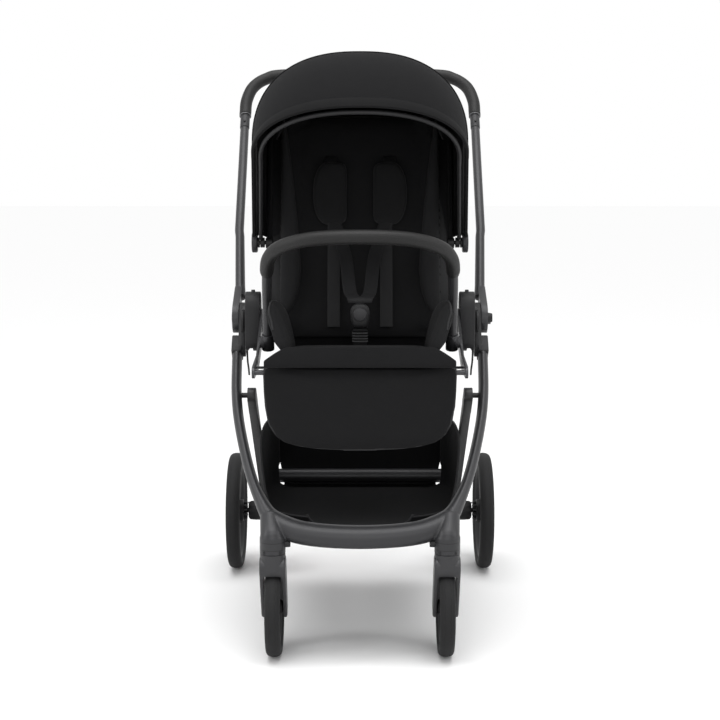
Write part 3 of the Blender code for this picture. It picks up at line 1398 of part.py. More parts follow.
STRAP_ON_BACK = (
    # x, distance up the backrest, distance behind its line, width, thickness
    (0.0560, 0.3500, -0.0388, 0.025, 0.002), (0.0560, 0.3495, -0.0440, 0.025, 0.002),
    (0.0570, 0.3420, -0.0500, 0.030, 0.005), (0.0580, 0.3270, -0.0540, 0.054, 0.014),
    (0.0590, 0.2800, -0.0550, 0.062, 0.015), (0.0590, 0.2400, -0.0560, 0.060, 0.014),
    (0.0570, 0.2150, -0.0580, 0.046, 0.010), (0.0540, 0.2020, -0.0600, 0.025, 0.002),
    (0.0400, 0.1500, -0.0720, 0.025, 0.002), (0.0300, 0.1100, -0.0920, 0.022, 0.002),
)
STRAP_AT_BUCKLE = (
    # x, distances behind and above the buckle, width, thickness
    (0.0210, 0.0320, 0.0460, 0.020, 0.002), (0.0120, 0.0050, 0.0340, 0.018, 0.002),
    (0.0100, 0.0002, 0.0290, 0.018, 0.002), (0.0100, 0.0000, 0.0249, 0.018, 0.002),
)
for side, sign in SIDES:
    route = [on_back(sign * x, up, behind) for x, up, behind, *_ in STRAP_ON_BACK]
    route += [BUCKLE + Vector((sign * x, back, up)) for x, back, up, *_ in STRAP_AT_BUCKLE]
    widths = [row[3] for row in STRAP_ON_BACK + STRAP_AT_BUCKLE]
    depths = [row[4] for row in STRAP_ON_BACK + STRAP_AT_BUCKLE]
    finish(ribbon(f"shoulder_strap_{side}", route, widths, depths), WEBBING, BACKREST, 60)

crotch_foot = BUCKLE - Vector((0, 0, BUCKLE_RISE - 0.0012))
crotch = ribbon(
    "crotch_strap",
    [crotch_foot, crotch_foot + Vector((0, -0.0015, 0.008)), BUCKLE - Vector((0, 0, 0.0232))],
    [CROTCH_STRAP_WIDTH] * 3, [0.0022] * 3,
)
finish(crotch, WEBBING, SEAT)
buckle = slab(
    "buckle",
    rounded(BUCKLE - Vector((0, 0, 0.014)), 0.0088, BUCKLE + Vector((0, 0, 0.0145)), 0.0100, 6),
    -BUCKLE_HALF_WIDTH, BUCKLE_HALF_WIDTH, 0.003, 2,
)
cut(buckle, pin(
    "button_well", BUCKLE + Vector((0, -0.0040, 0.004)), BUCKLE + Vector((0, -0.03, 0.004)),
    BUCKLE_BUTTON_RADIUS + 0.0004, 20,
))
finish(buckle, DARK_PLASTIC, SEAT)
BUCKLE_SLIDE = carrier("buckle_button_slide", BUCKLE + Vector((0, 0, 0.004)), SEAT)
finish(pin(
    "buckle_button", BUCKLE + Vector((0, -0.0075, 0.004)), BUCKLE + Vector((0, -0.0120, 0.004)),
    BUCKLE_BUTTON_RADIUS, 20, BUCKLE_BUTTON_RADIUS - 0.0013,
), LIGHT_PLASTIC, BUCKLE_SLIDE)


# Bumper bar: tube in sleeves on the seat frame, padded cover, two release buttons

BUMPER_BEND = (
    # distance in from the sleeve, shares of the bar's reach and rise
    (0.0030, 0.394, 0.660), (0.0102, 0.585, 0.814), (0.0362, 0.772, 0.916), (0.0902, 0.933, 0.981),
)
foot = BUMPER_FOOT + Vector((BUMPER_X, 0, 0))
half = [foot, foot + BUMPER_DIRECTION * 0.045, foot + BUMPER_DIRECTION * 0.080]
half += [
    foot + Vector((-inset, -BUMPER_REACH * reach, BUMPER_RISE * rise))
    for inset, reach, rise in BUMPER_BEND
]
other = [Vector((-p.x, p.y, p.z)) for p in reversed(half)]
front = BUMPER_FOOT + Vector((0, -BUMPER_REACH, BUMPER_RISE))
path = smooth_path([*half, front, *other], 2)
bumper = tube("bumper_tube", path, BUMPER_TUBE_RADIUS, 2)
GRIP_FROM = 6
grip_path = path[GRIP_FROM:-GRIP_FROM]
grip = tube("bumper_grip", grip_path, BUMPER_GRIP_RADIUS, 3)
core_path = path[GRIP_FROM - 2:2 - GRIP_FROM]
cut(grip, tube("bumper_core", core_path, BUMPER_TUBE_RADIUS + 0.0007, 2))
for side, sign in SIDES:
    place = BUMPER_FOOT + BUMPER_DIRECTION * BUMPER_BUTTON_UP + Vector((sign * BUMPER_X, 0, 0))
    press = Vector((0, BUMPER_DIRECTION.z, -BUMPER_DIRECTION.y))
    cut(bumper, pin(
        f"bumper_button_bore_{side}", place + press * 0.001, place - press * 0.02, 0.0040, 14,
    ))
    slide = carrier(f"bumper_button_slide_{side}", place, BUMPER)
    finish(pin(
        f"bumper_button_{side}", place - press * 0.0035, place - press * 0.0105, 0.0037, 14, 0.0030,
    ), LIGHT_PLASTIC, slide)
finish(bumper, GUNMETAL, BUMPER)
finish(grip, LEATHER, BUMPER)


# Canopy: two bows and two cloth panels that turn about one axis

CANOPY_STATIONS = (
    # angle from +Y, widths past the pivot at the foot and above it, crown's height over the
    # backrest's hoop, shoulder radius, squareness
    (62.0, -0.0169, -0.0169, 0.0390, 0.200, 3.0),
    (82.0, -0.0060, -0.0070, 0.0850, 0.198, 2.9),
    (102.6, 0.0030, 0.0005, 0.1100, 0.200, 2.8),
    (122.0, 0.0030, -0.0050, 0.1310, 0.232, 2.7),
    (142.7, 0.0030, -0.0130, 0.1505, 0.270, 2.6),
)
HOOP_REACH = BACK_LENGTH - PIVOT_ON_TUBE
ARCH_STEPS = 8


def canopy_shape(angle):
    """The canopy's widths, crown radius, shoulder radius and squareness at an angle."""
    for low, high in zip(CANOPY_STATIONS, CANOPY_STATIONS[1:]):
        if angle <= high[0] or high is CANOPY_STATIONS[-1]:
            t = (angle - low[0]) / (high[0] - low[0])
            foot, half, crown, *rest = [a + (b - a) * t for a, b in zip(low[1:], high[1:])]
            return [CANOPY_PIVOT_X + foot, CANOPY_PIVOT_X + half, HOOP_REACH + crown, *rest]


def arch(angle, inset, foot=0.030):
    """Points of the canopy's cross-section in the half plane at one angle."""
    foot_x, half_width, crown, shoulder, power = canopy_shape(angle)
    ray = in_plane(angle)
    side = []
    for share in (0.0, 0.35, 0.70):
        radius = foot + (shoulder - foot) * share
        x = foot_x + (half_width - foot_x) * radius / shoulder
        side.append((x - inset, radius))
    for i in range(ARCH_STEPS + 1):
        turn = math.pi / 2 * i / ARCH_STEPS
        x = (half_width - inset) * math.cos(turn) ** (2 / power)
        radius = shoulder + (crown - shoulder - inset) * math.sin(turn) ** (2 / power)
        side.append((x, radius))
    whole = side[:-1] + [(0.0, side[-1][1])] + [(-x, r) for x, r in reversed(side[:-1])]
    return [CANOPY_PIVOT + ray * radius + Vector((x, 0, 0)) for x, radius in whole]


def canopy_panel(name, start, end, steps, surface, parent):
    angles = [start + (end - start) * i / steps for i in range(steps + 1)]
    shape = bmesh.new()
    skins = []
    for inset in (0.0, CANOPY_CLOTH):
        skins.append([[shape.verts.new(p) for p in arch(angle, inset)] for angle in angles])
    count = len(skins[0][0])
    for rows in skins:
        for first, second in zip(rows, rows[1:]):
            for i in range(count - 1):
                shape.faces.new((first[i], first[i + 1], second[i + 1], second[i]))
    outer, inner = skins
    for row in (0, -1):
        for i in range(count - 1):
            shape.faces.new((outer[row][i], outer[row][i + 1], inner[row][i + 1], inner[row][i]))
    for column in (0, -1):
        for i in range(steps):
            shape.faces.new((
                outer[i][column], outer[i + 1][column], inner[i + 1][column], inner[i][column],
            ))
    return finish(from_bmesh(name, shape), surface, parent, 50)


def canopy_bow(name, angle, layer_x, parent, clearance):
    """A flat bow: its feet lie in their own layer by the pivot and flare out to the cloth."""
    foot_x, half_width, crown, shoulder, power = canopy_shape(angle)
    ray = in_plane(angle)
    along = in_plane(angle + 90)
    inset = CANOPY_CLOTH + BOW_HALF_WIDTH + clearance
    points = [
        (layer_x, 0.0), (layer_x, 0.07), (layer_x, 0.125), (half_width - inset - 0.0006, shoulder),
    ]
    for i in range(1, ARCH_STEPS + 1):
        turn = math.pi / 2 * i / ARCH_STEPS
        x = (half_width - inset) * max(0.0, math.cos(turn)) ** (2 / power)
        radius = shoulder + (crown - shoulder - inset) * math.sin(turn) ** (2 / power)
        points.append((x if i < ARCH_STEPS else 0.0, radius))
    whole = points + [(-x, r) for x, r in reversed(points[:-1])]
    path = [CANOPY_PIVOT + ray * r + Vector((x, 0, 0)) for x, r in whole]
    rings = []
    for i, place in enumerate(path):
        run = (path[min(i + 1, len(path) - 1)] - path[max(i - 1, 0)]).normalized()
        across = run.cross(along).normalized()
        rings.append(oval(place, across, along, BOW_HALF_WIDTH, BOW_HALF_DEPTH, 6))
    bow = loft(name, rings)
    for side, sign in SIDES:
        fuse(bow, pin(
            f"{name}_eye_{side}", CANOPY_PIVOT + Vector((sign * (layer_x - BOW_HALF_WIDTH), 0, 0)),
            CANOPY_PIVOT + Vector((sign * (layer_x + BOW_HALF_WIDTH), 0, 0)), 0.0100, 16,
        ))
    for side, sign in SIDES:
        cut(bow, pin(
            f"{name}_bore_{side}", CANOPY_PIVOT + Vector((sign * (layer_x - 0.008), 0, 0)),
            CANOPY_PIVOT + Vector((sign * (layer_x + 0.008), 0, 0)), 0.0043,
        ))
    return finish(bow, DARK_PLASTIC, parent)


LAYER_ONE = BACK_TUBE_X + CANOPY_MOUNT_OUTSET + SEAT_GAP + BOW_HALF_WIDTH
LAYER_TWO = LAYER_ONE + 2 * BOW_HALF_WIDTH + SEAT_GAP
MID_ANGLE = CANOPY_STATIONS[2][0]
FRONT_ANGLE = CANOPY_STATIONS[-1][0]
canopy_bow("canopy_mid_bow", MID_ANGLE, LAYER_ONE, CANOPY_MID, 0.0011)
canopy_bow("canopy_front_bow", FRONT_ANGLE - 1.2, LAYER_TWO, CANOPY_FRONT, 0.0018)
canopy_panel("canopy_rear_panel", CANOPY_STATIONS[0][0], MID_ANGLE - 0.1, 4, FABRIC, BACKREST)
canopy_panel("canopy_front_panel", MID_ANGLE + 0.1, FRONT_ANGLE, 4, FABRIC, CANOPY_MID)
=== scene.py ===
"""The looks of a mid-size stroller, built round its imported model.

It stands on z = 0 and faces -Y, and the pusher's left is +X. Lengths are in metres.
"""

import json
import math

import bmesh
import bpy
from mathutils import Matrix, Vector


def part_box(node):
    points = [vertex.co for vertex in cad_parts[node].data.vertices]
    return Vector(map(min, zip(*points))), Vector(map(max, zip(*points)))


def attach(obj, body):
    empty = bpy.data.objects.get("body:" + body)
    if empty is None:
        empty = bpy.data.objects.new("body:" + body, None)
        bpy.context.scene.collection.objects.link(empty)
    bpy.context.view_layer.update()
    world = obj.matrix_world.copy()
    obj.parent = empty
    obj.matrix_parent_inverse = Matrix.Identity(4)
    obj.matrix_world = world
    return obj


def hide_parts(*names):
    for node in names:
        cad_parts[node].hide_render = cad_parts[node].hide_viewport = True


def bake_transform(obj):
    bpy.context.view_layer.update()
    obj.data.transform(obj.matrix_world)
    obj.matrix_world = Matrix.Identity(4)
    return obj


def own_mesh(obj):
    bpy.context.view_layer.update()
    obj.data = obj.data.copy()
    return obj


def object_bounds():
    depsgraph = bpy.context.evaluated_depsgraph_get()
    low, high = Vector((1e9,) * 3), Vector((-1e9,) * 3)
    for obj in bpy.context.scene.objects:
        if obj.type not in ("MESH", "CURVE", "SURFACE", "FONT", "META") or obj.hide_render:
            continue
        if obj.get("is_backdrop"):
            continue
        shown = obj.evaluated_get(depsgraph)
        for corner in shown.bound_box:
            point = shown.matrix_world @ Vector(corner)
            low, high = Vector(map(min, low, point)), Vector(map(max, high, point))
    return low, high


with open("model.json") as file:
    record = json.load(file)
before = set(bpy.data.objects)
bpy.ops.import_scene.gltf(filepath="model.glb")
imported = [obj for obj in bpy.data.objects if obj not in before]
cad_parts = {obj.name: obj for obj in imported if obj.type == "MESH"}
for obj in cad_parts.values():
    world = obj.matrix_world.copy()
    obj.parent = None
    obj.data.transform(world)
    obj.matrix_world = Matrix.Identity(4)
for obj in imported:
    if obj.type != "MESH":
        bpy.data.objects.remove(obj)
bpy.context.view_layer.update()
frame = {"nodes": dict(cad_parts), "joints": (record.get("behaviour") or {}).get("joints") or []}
pivot = {joint["name"]: Vector(joint.get("pos_m") or (0, 0, 0)) for joint in frame["joints"]}


# Front frame: one aluminium tube bent into a U, narrow down the legs and drawn broad across the
# front. It is powder coated in satin gunmetal before anything is fixed to it.

def signed(operation, swapped=False):
    """A method of Level that adds one Math node."""
    def method(level, other=0.0):
        return level.sign(operation, *((other, level) if swapped else (level, other)))

    return method


class Level:
    """A shader socket that can stand in a formula. Each sign adds its Math node."""

    def __init__(self, tree, socket):
        self.tree = tree
        self.socket = socket

    def sign(self, operation, first, second=0.0):
        node = self.tree.nodes.new("ShaderNodeMath")
        node.operation = operation
        for entry, value in zip(node.inputs, (first, second)):
            if isinstance(value, Level):
                self.tree.links.new(value.socket, entry)
            else:
                entry.default_value = value
        return Level(self.tree, node.outputs[0])

    __add__, __radd__ = signed("ADD"), signed("ADD", True)
    __sub__, __rsub__ = signed("SUBTRACT"), signed("SUBTRACT", True)
    __mul__, __rmul__ = signed("MULTIPLY"), signed("MULTIPLY", True)
    __truediv__, __rtruediv__ = signed("DIVIDE"), signed("DIVIDE", True)
    __pow__, __lt__, __gt__ = signed("POWER"), signed("LESS_THAN"), signed("GREATER_THAN")
    __abs__ = signed("ABSOLUTE")


class Finish:
    """One finish of the stroller: its shader, and a way to add any node to it."""

    GAP = (0.003, 0.003, 0.003, 1)

    def __init__(self, name, colour, roughness, metallic=0.0, **fixed):
        self.material = bpy.data.materials.new(name)
        self.material.use_nodes = True
        self.tree = self.material.node_tree
        self.shader = self.tree.nodes["Principled BSDF"]
        self.colour = (*colour, 1)
        self.set("Base Color", self.colour)
        self.set("Roughness", roughness)
        self.set("Metallic", metallic)
        for entry, value in fixed.items():
            self.set(entry.replace("_", " "), value)
        self.place = self.node("ShaderNodeTexCoord", out="Object")

    def node(self, kind, settings=None, sockets=None, out=0):
        node = self.tree.nodes.new(kind)
        for setting, value in (settings or {}).items():
            setattr(node, setting, value)
        for entry, value in (sockets or {}).items():
            self.feed(node.inputs[entry], value)
        return Level(self.tree, node.outputs[out])

    def feed(self, socket, value):
        if isinstance(value, Level):
            self.tree.links.new(value.socket, socket)
        else:
            socket.default_value = value

    def set(self, entry, value):
        self.feed(self.shader.inputs[entry], value)

    def axes(self, vector):
        """The x, y and z of a vector."""
        parts = self.node("ShaderNodeSeparateXYZ", None, {0: vector}).socket.node
        return [Level(self.tree, output) for output in parts.outputs]

    def weave_axes(self):
        """The two directions of a cloth's own UV map, in metres."""
        return self.axes(self.node("ShaderNodeUVMap", {"uv_map": "metres"}, None, "UV"))[:2]

    def stretched(self, scale):
        """The piece's own coordinates, stretched for a grain that runs one way."""
        return self.node("ShaderNodeMapping", None, {"Vector": self.place, "Scale": scale})

    def noise(self, scale, detail=2.0, place=None):
        return self.node("ShaderNodeTexNoise", None, {
            "Vector": place or self.place, "Scale": scale, "Detail": detail,
        })

    def cells(self, scale, feature="F1"):
        return self.node("ShaderNodeTexVoronoi", {"feature": feature}, {
            "Vector": self.place, "Scale": scale,
        })

    def between(self, share, first, second):
        """A colour between two colours."""
        return self.node("ShaderNodeMix", {"data_type": "RGBA"}, {0: share, 6: first, 7: second}, 2)

    def shaded(self, share, depth, gap=0.0):
        """The finish's own colour, lightened where share is 1, darkened at 0 and black in a gap."""
        dark = [level * (1 - depth) for level in self.colour[:3]] + [1]
        light = [level * (1 + depth) for level in self.colour[:3]] + [1]
        self.set("Base Color", self.between(gap, self.between(share, dark, light), self.GAP))

    def relief(self, height, depth, strength=1.0):
        """A bump of this real depth, in metres."""
        self.set("Normal", self.node("ShaderNodeBump", None, {
            "Height": height, "Distance": depth, "Strength": strength,
        }))


def powder_coat(name, colour, roughness, metallic, parting=None):
    """Satin powder coat. A parting says where two coated castings meet in a dark line."""
    coat = Finish(name, colour, roughness, metallic, Specular_IOR_Level=0.45)
    speckle = coat.noise(2600, 3)
    gap = parting(coat) if parting else 0.0
    coat.shaded(speckle * 0.5 + coat.noise(9, 3) * 0.5, 0.22, gap)
    coat.set("Roughness", coat.noise(160, 4) * 0.14 + (roughness - 0.07))
    coat.relief(coat.noise(1100, 2), 0.00012, 0.35)
    return coat.material


def link(name, data):
    """A new object with this mesh, lamp or lens, in the scene."""
    piece = bpy.data.objects.new(name, data)
    bpy.context.scene.collection.objects.link(piece)
    return piece


def smooth(points, steps):
    """Points on a smooth curve that passes through the given ones."""
    ends = [points[0] * 2 - points[1], *points, points[-1] * 2 - points[-2]]
    path = []
    for before, start, end, after in zip(ends, ends[1:], ends[2:], ends[3:]):
        for step in range(steps):
            t = step / steps
            path.append(
                start
                + (end - before) * (t / 2)
                + (before * 2 - start * 5 + end * 4 - after) * (t * t / 2)
                + (start * 3 - before - end * 3 + after) * (t ** 3 / 2)
            )
    path.append(points[-1].copy())
    return path


def heading(path, i):
    """The direction of a path at its point i."""
    return (path[min(i + 1, len(path) - 1)] - path[max(i - 1, 0)]).normalized()


def mirrored(points):
    """The same points on the stroller's other side, from the last to the first."""
    return [Vector((-p.x, p.y, p.z)) for p in reversed(points)]


def from_faces(shape, name):
    """A new object with the faces of a bmesh, all turned outwards."""
    bmesh.ops.recalc_face_normals(shape, faces=shape.faces)
    mesh = bpy.data.meshes.new(name)
    shape.to_mesh(mesh)
    shape.free()
    return link(name, mesh)


def skin(rings, round_across=True):
    """A mesh object whose rows of points are joined by faces, with its own UV map in metres.

    Rows that go round are capped at both ends. Other rows make an open sheet.
    """
    shape = bmesh.new()
    metres = shape.loops.layers.uv.new("metres")
    rows = [[shape.verts.new(point) for point in ring] for ring in rings]
    count = len(rings[0])
    along = [0.0]
    for first, second in zip(rings, rings[1:]):
        along.append(along[-1] + (second[count // 2] - first[count // 2]).length)
    for i in range(len(rows) - 1):
        first, second = rows[i], rows[i + 1]
        start, end, across = along[i], along[i + 1], 0.0
        for j in range(count if round_across else count - 1):
            k = (j + 1) % count
            reach = across + (rings[i][k] - rings[i][j]).length
            face = shape.faces.new((first[j], first[k], second[k], second[j]))
            corners = ((across, start), (reach, start), (reach, end), (across, end))
            for loop, corner in zip(face.loops, corners):
                loop[metres].uv = corner
            across = reach
    if round_across:
        shape.faces.new(rows[0])
        shape.faces.new(rows[-1])
    return from_faces(shape, "skin")


def ring(centre, across, along, half_across, half_along, sides):
    turns = [2 * math.pi * i / sides for i in range(sides)]
    return [
        centre + across * (half_across * math.cos(t)) + along * (half_along * math.sin(t))
        for t in turns
    ]


def side_line(degrees):
    """A unit vector in the side view, turned from +Y towards +Z."""
    return Vector((0, math.cos(math.radians(degrees)), math.sin(math.radians(degrees))))


HINGE = pivot["frame_fold"]
ARM_SLOPE = 51.5
ARM_BEHIND = side_line(ARM_SLOPE - 90)
TUBE_LINE = HINGE + ARM_BEHIND * 0.014
LOOP_FRONT = Vector((0, pivot["caster_left_swivel"].y, 0.2305))
LEG_LENGTH = (LOOP_FRONT - TUBE_LINE).length
LEG_DOWN = (LOOP_FRONT - TUBE_LINE).normalized()
LEG_FACE = Vector((0, LEG_DOWN.z, -LEG_DOWN.y))
LEG_TOP_X, LEG_TOP_DOWN = 0.2375, 0.0805
LOOP_TURNS = (
    # x, share of the leg's length
    (0.2340, 0.360), (0.2240, 0.515), (0.2030, 0.705), (0.1810, 0.836), (0.1530, 0.931),
    (0.1000, 0.983),
)
LEG_HALF_WIDE, LEG_HALF_DEEP = 0.00975, 0.0155
FRONT_HALF_WIDE, FRONT_HALF_DEEP = 0.0215, 0.0200
GUNMETAL = powder_coat("gunmetal_powder_coat", (0.028, 0.028, 0.030), 0.40, 0.30)


def on_leg(x, down):
    return TUBE_LINE + LEG_DOWN * down + Vector((x, 0, 0))


half = [on_leg(LEG_TOP_X, LEG_TOP_DOWN)]
half += [on_leg(x, LEG_LENGTH * share) for x, share in LOOP_TURNS]
line = smooth([*half, LOOP_FRONT, *mirrored(half)], 8)
rings = []
for i, centre in enumerate(line):
    share = 1 - min(1, max(0, (abs(centre.x) - 0.130) / 0.065))
    broad = share * share * (3 - 2 * share)
    rings.append(ring(
        centre, heading(line, i).cross(LEG_FACE).normalized(), LEG_FACE,
        LEG_HALF_WIDE + (FRONT_HALF_WIDE - LEG_HALF_WIDE) * broad,
        LEG_HALF_DEEP + (FRONT_HALF_DEEP - LEG_HALF_DEEP) * broad, 36,
    ))
loop = skin(rings)


# Fold hinges: a nylon cheek on the front leg and a die-cast cheek on the push arm, which turn
# on one rivet with a domed cap. The mouldings keep their broken edges.

def only(piece):
    """Leaves this piece alone selected and active."""
    bpy.ops.object.select_all(action="DESELECT")
    piece.select_set(True)
    bpy.context.view_layer.objects.active = piece


def work(piece, kind, **settings):
    """Gives the piece a modifier with these settings and applies it."""
    only(piece)
    change = piece.modifiers.new(kind.title(), kind)
    for setting, value in settings.items():
        setattr(change, setting, value)
    bpy.ops.object.modifier_apply(modifier=change.name)


def round_off(piece, width, segments, angle):
    """Bevels the edges that are sharper than this many degrees."""
    work(piece, "BEVEL", width=width, segments=segments, limit_method="ANGLE",
         angle_limit=math.radians(angle))


def fit(piece, name, body, material, stands_for=(), sharp=35):
    """Names a shaped piece, puts its place in its mesh, smooths it and fixes it to its body.

    A piece that spans a joint has (near body, far body, start, end) for its body, which is not used: the
    piece is only baked in place.
    """
    piece.name = name
    piece.data.name = name
    only(piece)
    bpy.ops.object.transform_apply(location=True, rotation=True, scale=True)
    bpy.ops.object.shade_smooth_by_angle(angle=math.radians(sharp))
    if material:
        piece.data.materials.clear()
        piece.data.materials.append(material)
    if isinstance(body, str):
        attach(piece, body)
    else:
        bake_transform(piece)
    if stands_for:
        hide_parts(*stands_for)
    return piece


def merged_copy(node, name):
    """A new mesh in the place of a solid, with its doubled points merged."""
    piece = link(name, frame["nodes"][node].data.copy())
    only(piece)
    bpy.ops.object.mode_set(mode="EDIT")
    bpy.ops.mesh.select_all(action="SELECT")
    bpy.ops.mesh.remove_doubles(threshold=0.00002)
    bpy.ops.object.mode_set(mode="OBJECT")
    return piece


def moulding(node, name, body, material, edge, sharp=38):
    """A rigid piece whose solid is right: a merged copy of it with its edges broken."""
    piece = merged_copy(node, name)
    only(piece)
    bpy.ops.object.mode_set(mode="EDIT")
    bpy.ops.mesh.select_all(action="SELECT")
    bpy.ops.mesh.dissolve_limited(angle_limit=math.radians(1.0))
    bpy.ops.object.mode_set(mode="OBJECT")
    round_off(piece, edge, 2, sharp + 4)
    return fit(piece, name, body, material, [node], sharp)


def plastic(name, colour, roughness):
    """Moulded nylon with a fine spark-eroded texture."""
    coat = Finish(name, colour, roughness, 0.0, Specular_IOR_Level=0.28)
    fine = coat.noise(3200, 2)
    coat.shaded(coat.noise(14, 3) * 0.7 + fine * 0.3, 0.14)
    coat.set("Roughness", coat.noise(240, 3) * 0.16 + (roughness - 0.08))
    coat.relief(fine, 0.00010, 0.45)
    return coat.material


def disc(radius, depth, centre, axis="X", sides=48):
    """A flat round blank at its size and place."""
    turns = {"X": (0, math.radians(90), 0), "Y": (math.radians(90), 0, 0), "Z": (0, 0, 0)}
    bpy.ops.object.select_all(action="DESELECT")
    bpy.ops.mesh.primitive_cylinder_add(
        vertices=sides, radius=radius, depth=depth, location=centre, rotation=turns[axis],
    )
    piece = bpy.context.object
    bpy.ops.object.transform_apply(location=True, rotation=True, scale=True)
    return piece


def face_towards(piece, direction):
    """In edit mode, leaves only the faces that look along a direction selected."""
    bpy.ops.object.mode_set(mode="OBJECT")
    for face in piece.data.polygons:
        face.select = face.normal.dot(Vector(direction)) > 0.9
    for edge in piece.data.edges:
        edge.select = False
    bpy.ops.object.mode_set(mode="EDIT")
    bpy.ops.mesh.select_mode(type="FACE")


def dished(piece, direction, *insets):
    """Insets the faces that look along a direction, by one (thickness, depth) after another."""
    face_towards(piece, direction)
    for thickness, depth in insets:
        bpy.ops.mesh.inset(thickness=thickness, depth=depth)
    bpy.ops.object.mode_set(mode="OBJECT")


def capped_disc(radius, depth, centre, axis, outward, rim=0.25, dish=0.0012):
    """A round cap with a raised lip, a dished face and a rounded edge."""
    piece = disc(radius, depth, centre, axis)
    direction = {"X": (outward, 0, 0), "Y": (0, outward, 0), "Z": (0, 0, outward)}[axis]
    dished(piece, direction, (radius * rim, 0), (radius * 0.06, -dish), (radius * 0.20, 0),
           (radius * 0.12, dish * 0.6))
    round_off(piece, min(depth, radius) * 0.22, 3, 50)
    return piece


BLACK = plastic("black_nylon", (0.0100, 0.0100, 0.0108), 0.52)
GREY = plastic("dark_grey_nylon", (0.026, 0.026, 0.028), 0.46)
STEEL = Finish("plated_steel", (0.50, 0.50, 0.52), 0.30, 1.0)
STEEL.shaded(STEEL.noise(400, 3), 0.12)
STEEL.set("Roughness", STEEL.noise(60, 3) * 0.2 + 0.2)
HOUSING_OUT = 0.2485
SIDES = (("left", 1), ("right", -1))
for side, _ in SIDES:
    moulding(f"hinge_housing_{side}", f"fold_cheek_{side}", "chassis", BLACK, 0.0006)
rivet = capped_disc(0.0135, 0.0024, HINGE + Vector((-(HOUSING_OUT + 0.0010), 0, 0)), "X", -1)
fit(rivet, "fold_rivet_right", "push_arms", GREY)


# Push arms: round aluminium tubes flared into their hinge cheeks, with a moulded collar where
# the handle slides in. The collar has an oval tell-tale slot on its outer face.

def cut(piece, tool, operation="DIFFERENCE"):
    """Cuts the tool out of a piece or adds it, and removes the tool."""
    work(piece, "BOOLEAN", operation=operation, object=tool)
    bpy.data.objects.remove(tool)


def on_arm(x, up, behind=0.0):
    return TUBE_LINE + ARM_UP * up + ARM_BEHIND * behind + Vector((x, 0, 0))


def aim(piece, place, direction, roll="X", narrow=1.0):
    """Moves a piece that is made round Z to a place, with its Z along a direction."""
    piece.matrix_world = (
        Matrix.Translation(place) @ direction.to_track_quat("Z", roll).to_matrix().to_4x4()
        @ Matrix.Diagonal((narrow, 1, 1, 1))
    )


ARM_UP = side_line(ARM_SLOPE)
ARM_X, ARM_TOP = 0.2465, 0.505
COLLAR_RADIUS, COLLAR_LENGTH, COLLAR_LOW = 0.0123, 0.036, ARM_TOP - 0.016
TRIM = powder_coat("brushed_trim_ring", (0.110, 0.110, 0.115), 0.35, 0.40)
for side, sign in SIDES:
    moulding(f"push_arm_{side}", f"push_arm_tube_{side}", "push_arms", GUNMETAL, 0.0005)
    collar = disc(COLLAR_RADIUS, COLLAR_LENGTH, (0, 0, 0), "Z", 56)
    face_towards(collar, (0, 0, -1))
    bpy.ops.transform.resize(value=(0.82, 0.82, 1))
    dished(collar, (0, 0, 1), (0.0014, 0.0))
    round_off(collar, 0.0012, 3, 50)
    groove = disc(0.0140, 0.0008, (0, 0, 0.0105), "Z", 56)
    cut(groove, disc(0.0119, 0.0030, (0, 0, 0.0105), "Z", 56))
    cut(collar, groove)
    aim(collar, on_arm(sign * ARM_X, COLLAR_LOW + COLLAR_LENGTH / 2), ARM_UP)
    fit(collar, f"arm_collar_{side}", "push_arms", GREY, [f"handle_collar_{side}"])
    trim = disc(0.0127, 0.0022, (0, 0, 0), "Z", 56)
    work(trim, "BEVEL", width=0.0007, segments=3)
    aim(trim, on_arm(sign * ARM_X, ARM_TOP + 0.0185), ARM_UP)
    fit(trim, f"arm_collar_trim_{side}", "push_arms", TRIM)
    slot = disc(0.0030, 0.0016, (0, 0, 0), "Z", 32)
    work(slot, "BEVEL", width=0.0004, segments=2)
    aim(slot, on_arm(sign * ARM_X, ARM_TOP - 0.004, -0.0120), -ARM_BEHIND, narrow=0.6)
    fit(slot, f"collar_slot_{side}", "push_arms", BLACK)
moulding("storage_latch", "storage_latch_hook", "storage_latch", BLACK, 0.0005)


# Handle: an aluminium U tube in the arms with a leatherette sleeve sewn round its bend. The
# seam runs along the lower side, and a release button sits in the middle.

def tube(points, radius, sides, steps=0):
    """A round tube along a line of points. The radius may follow the share of its length."""
    path = smooth(points, steps) if steps else points
    rings, across = [], None
    for i, centre in enumerate(path):
        run = heading(path, i)
        if across is None:
            across = run.orthogonal() if abs(run.x) > 0.95 else Vector((1, 0, 0)) - run * run.x
            across.normalize()
        across = (across - run * across.dot(run)).normalized()
        size = radius(i / (len(path) - 1)) if callable(radius) else radius
        rings.append(ring(centre, across, run.cross(across), size, size, sides))
    return skin(rings)


def leatherette(name, colour):
    """Embossed leatherette: small rounded pebbles with creases between them."""
    coat = Finish(name, colour, 0.52, 0.0, Specular_IOR_Level=0.30)
    pebble = coat.cells(760)
    crease = coat.cells(300, "DISTANCE_TO_EDGE")
    coat.shaded(1 - pebble, 0.30)
    coat.set("Roughness", pebble * 0.18 + 0.42)
    coat.relief((1 - pebble) * 0.7 + (crease * 6) * 0.3, 0.00035, 0.6)
    return coat.material


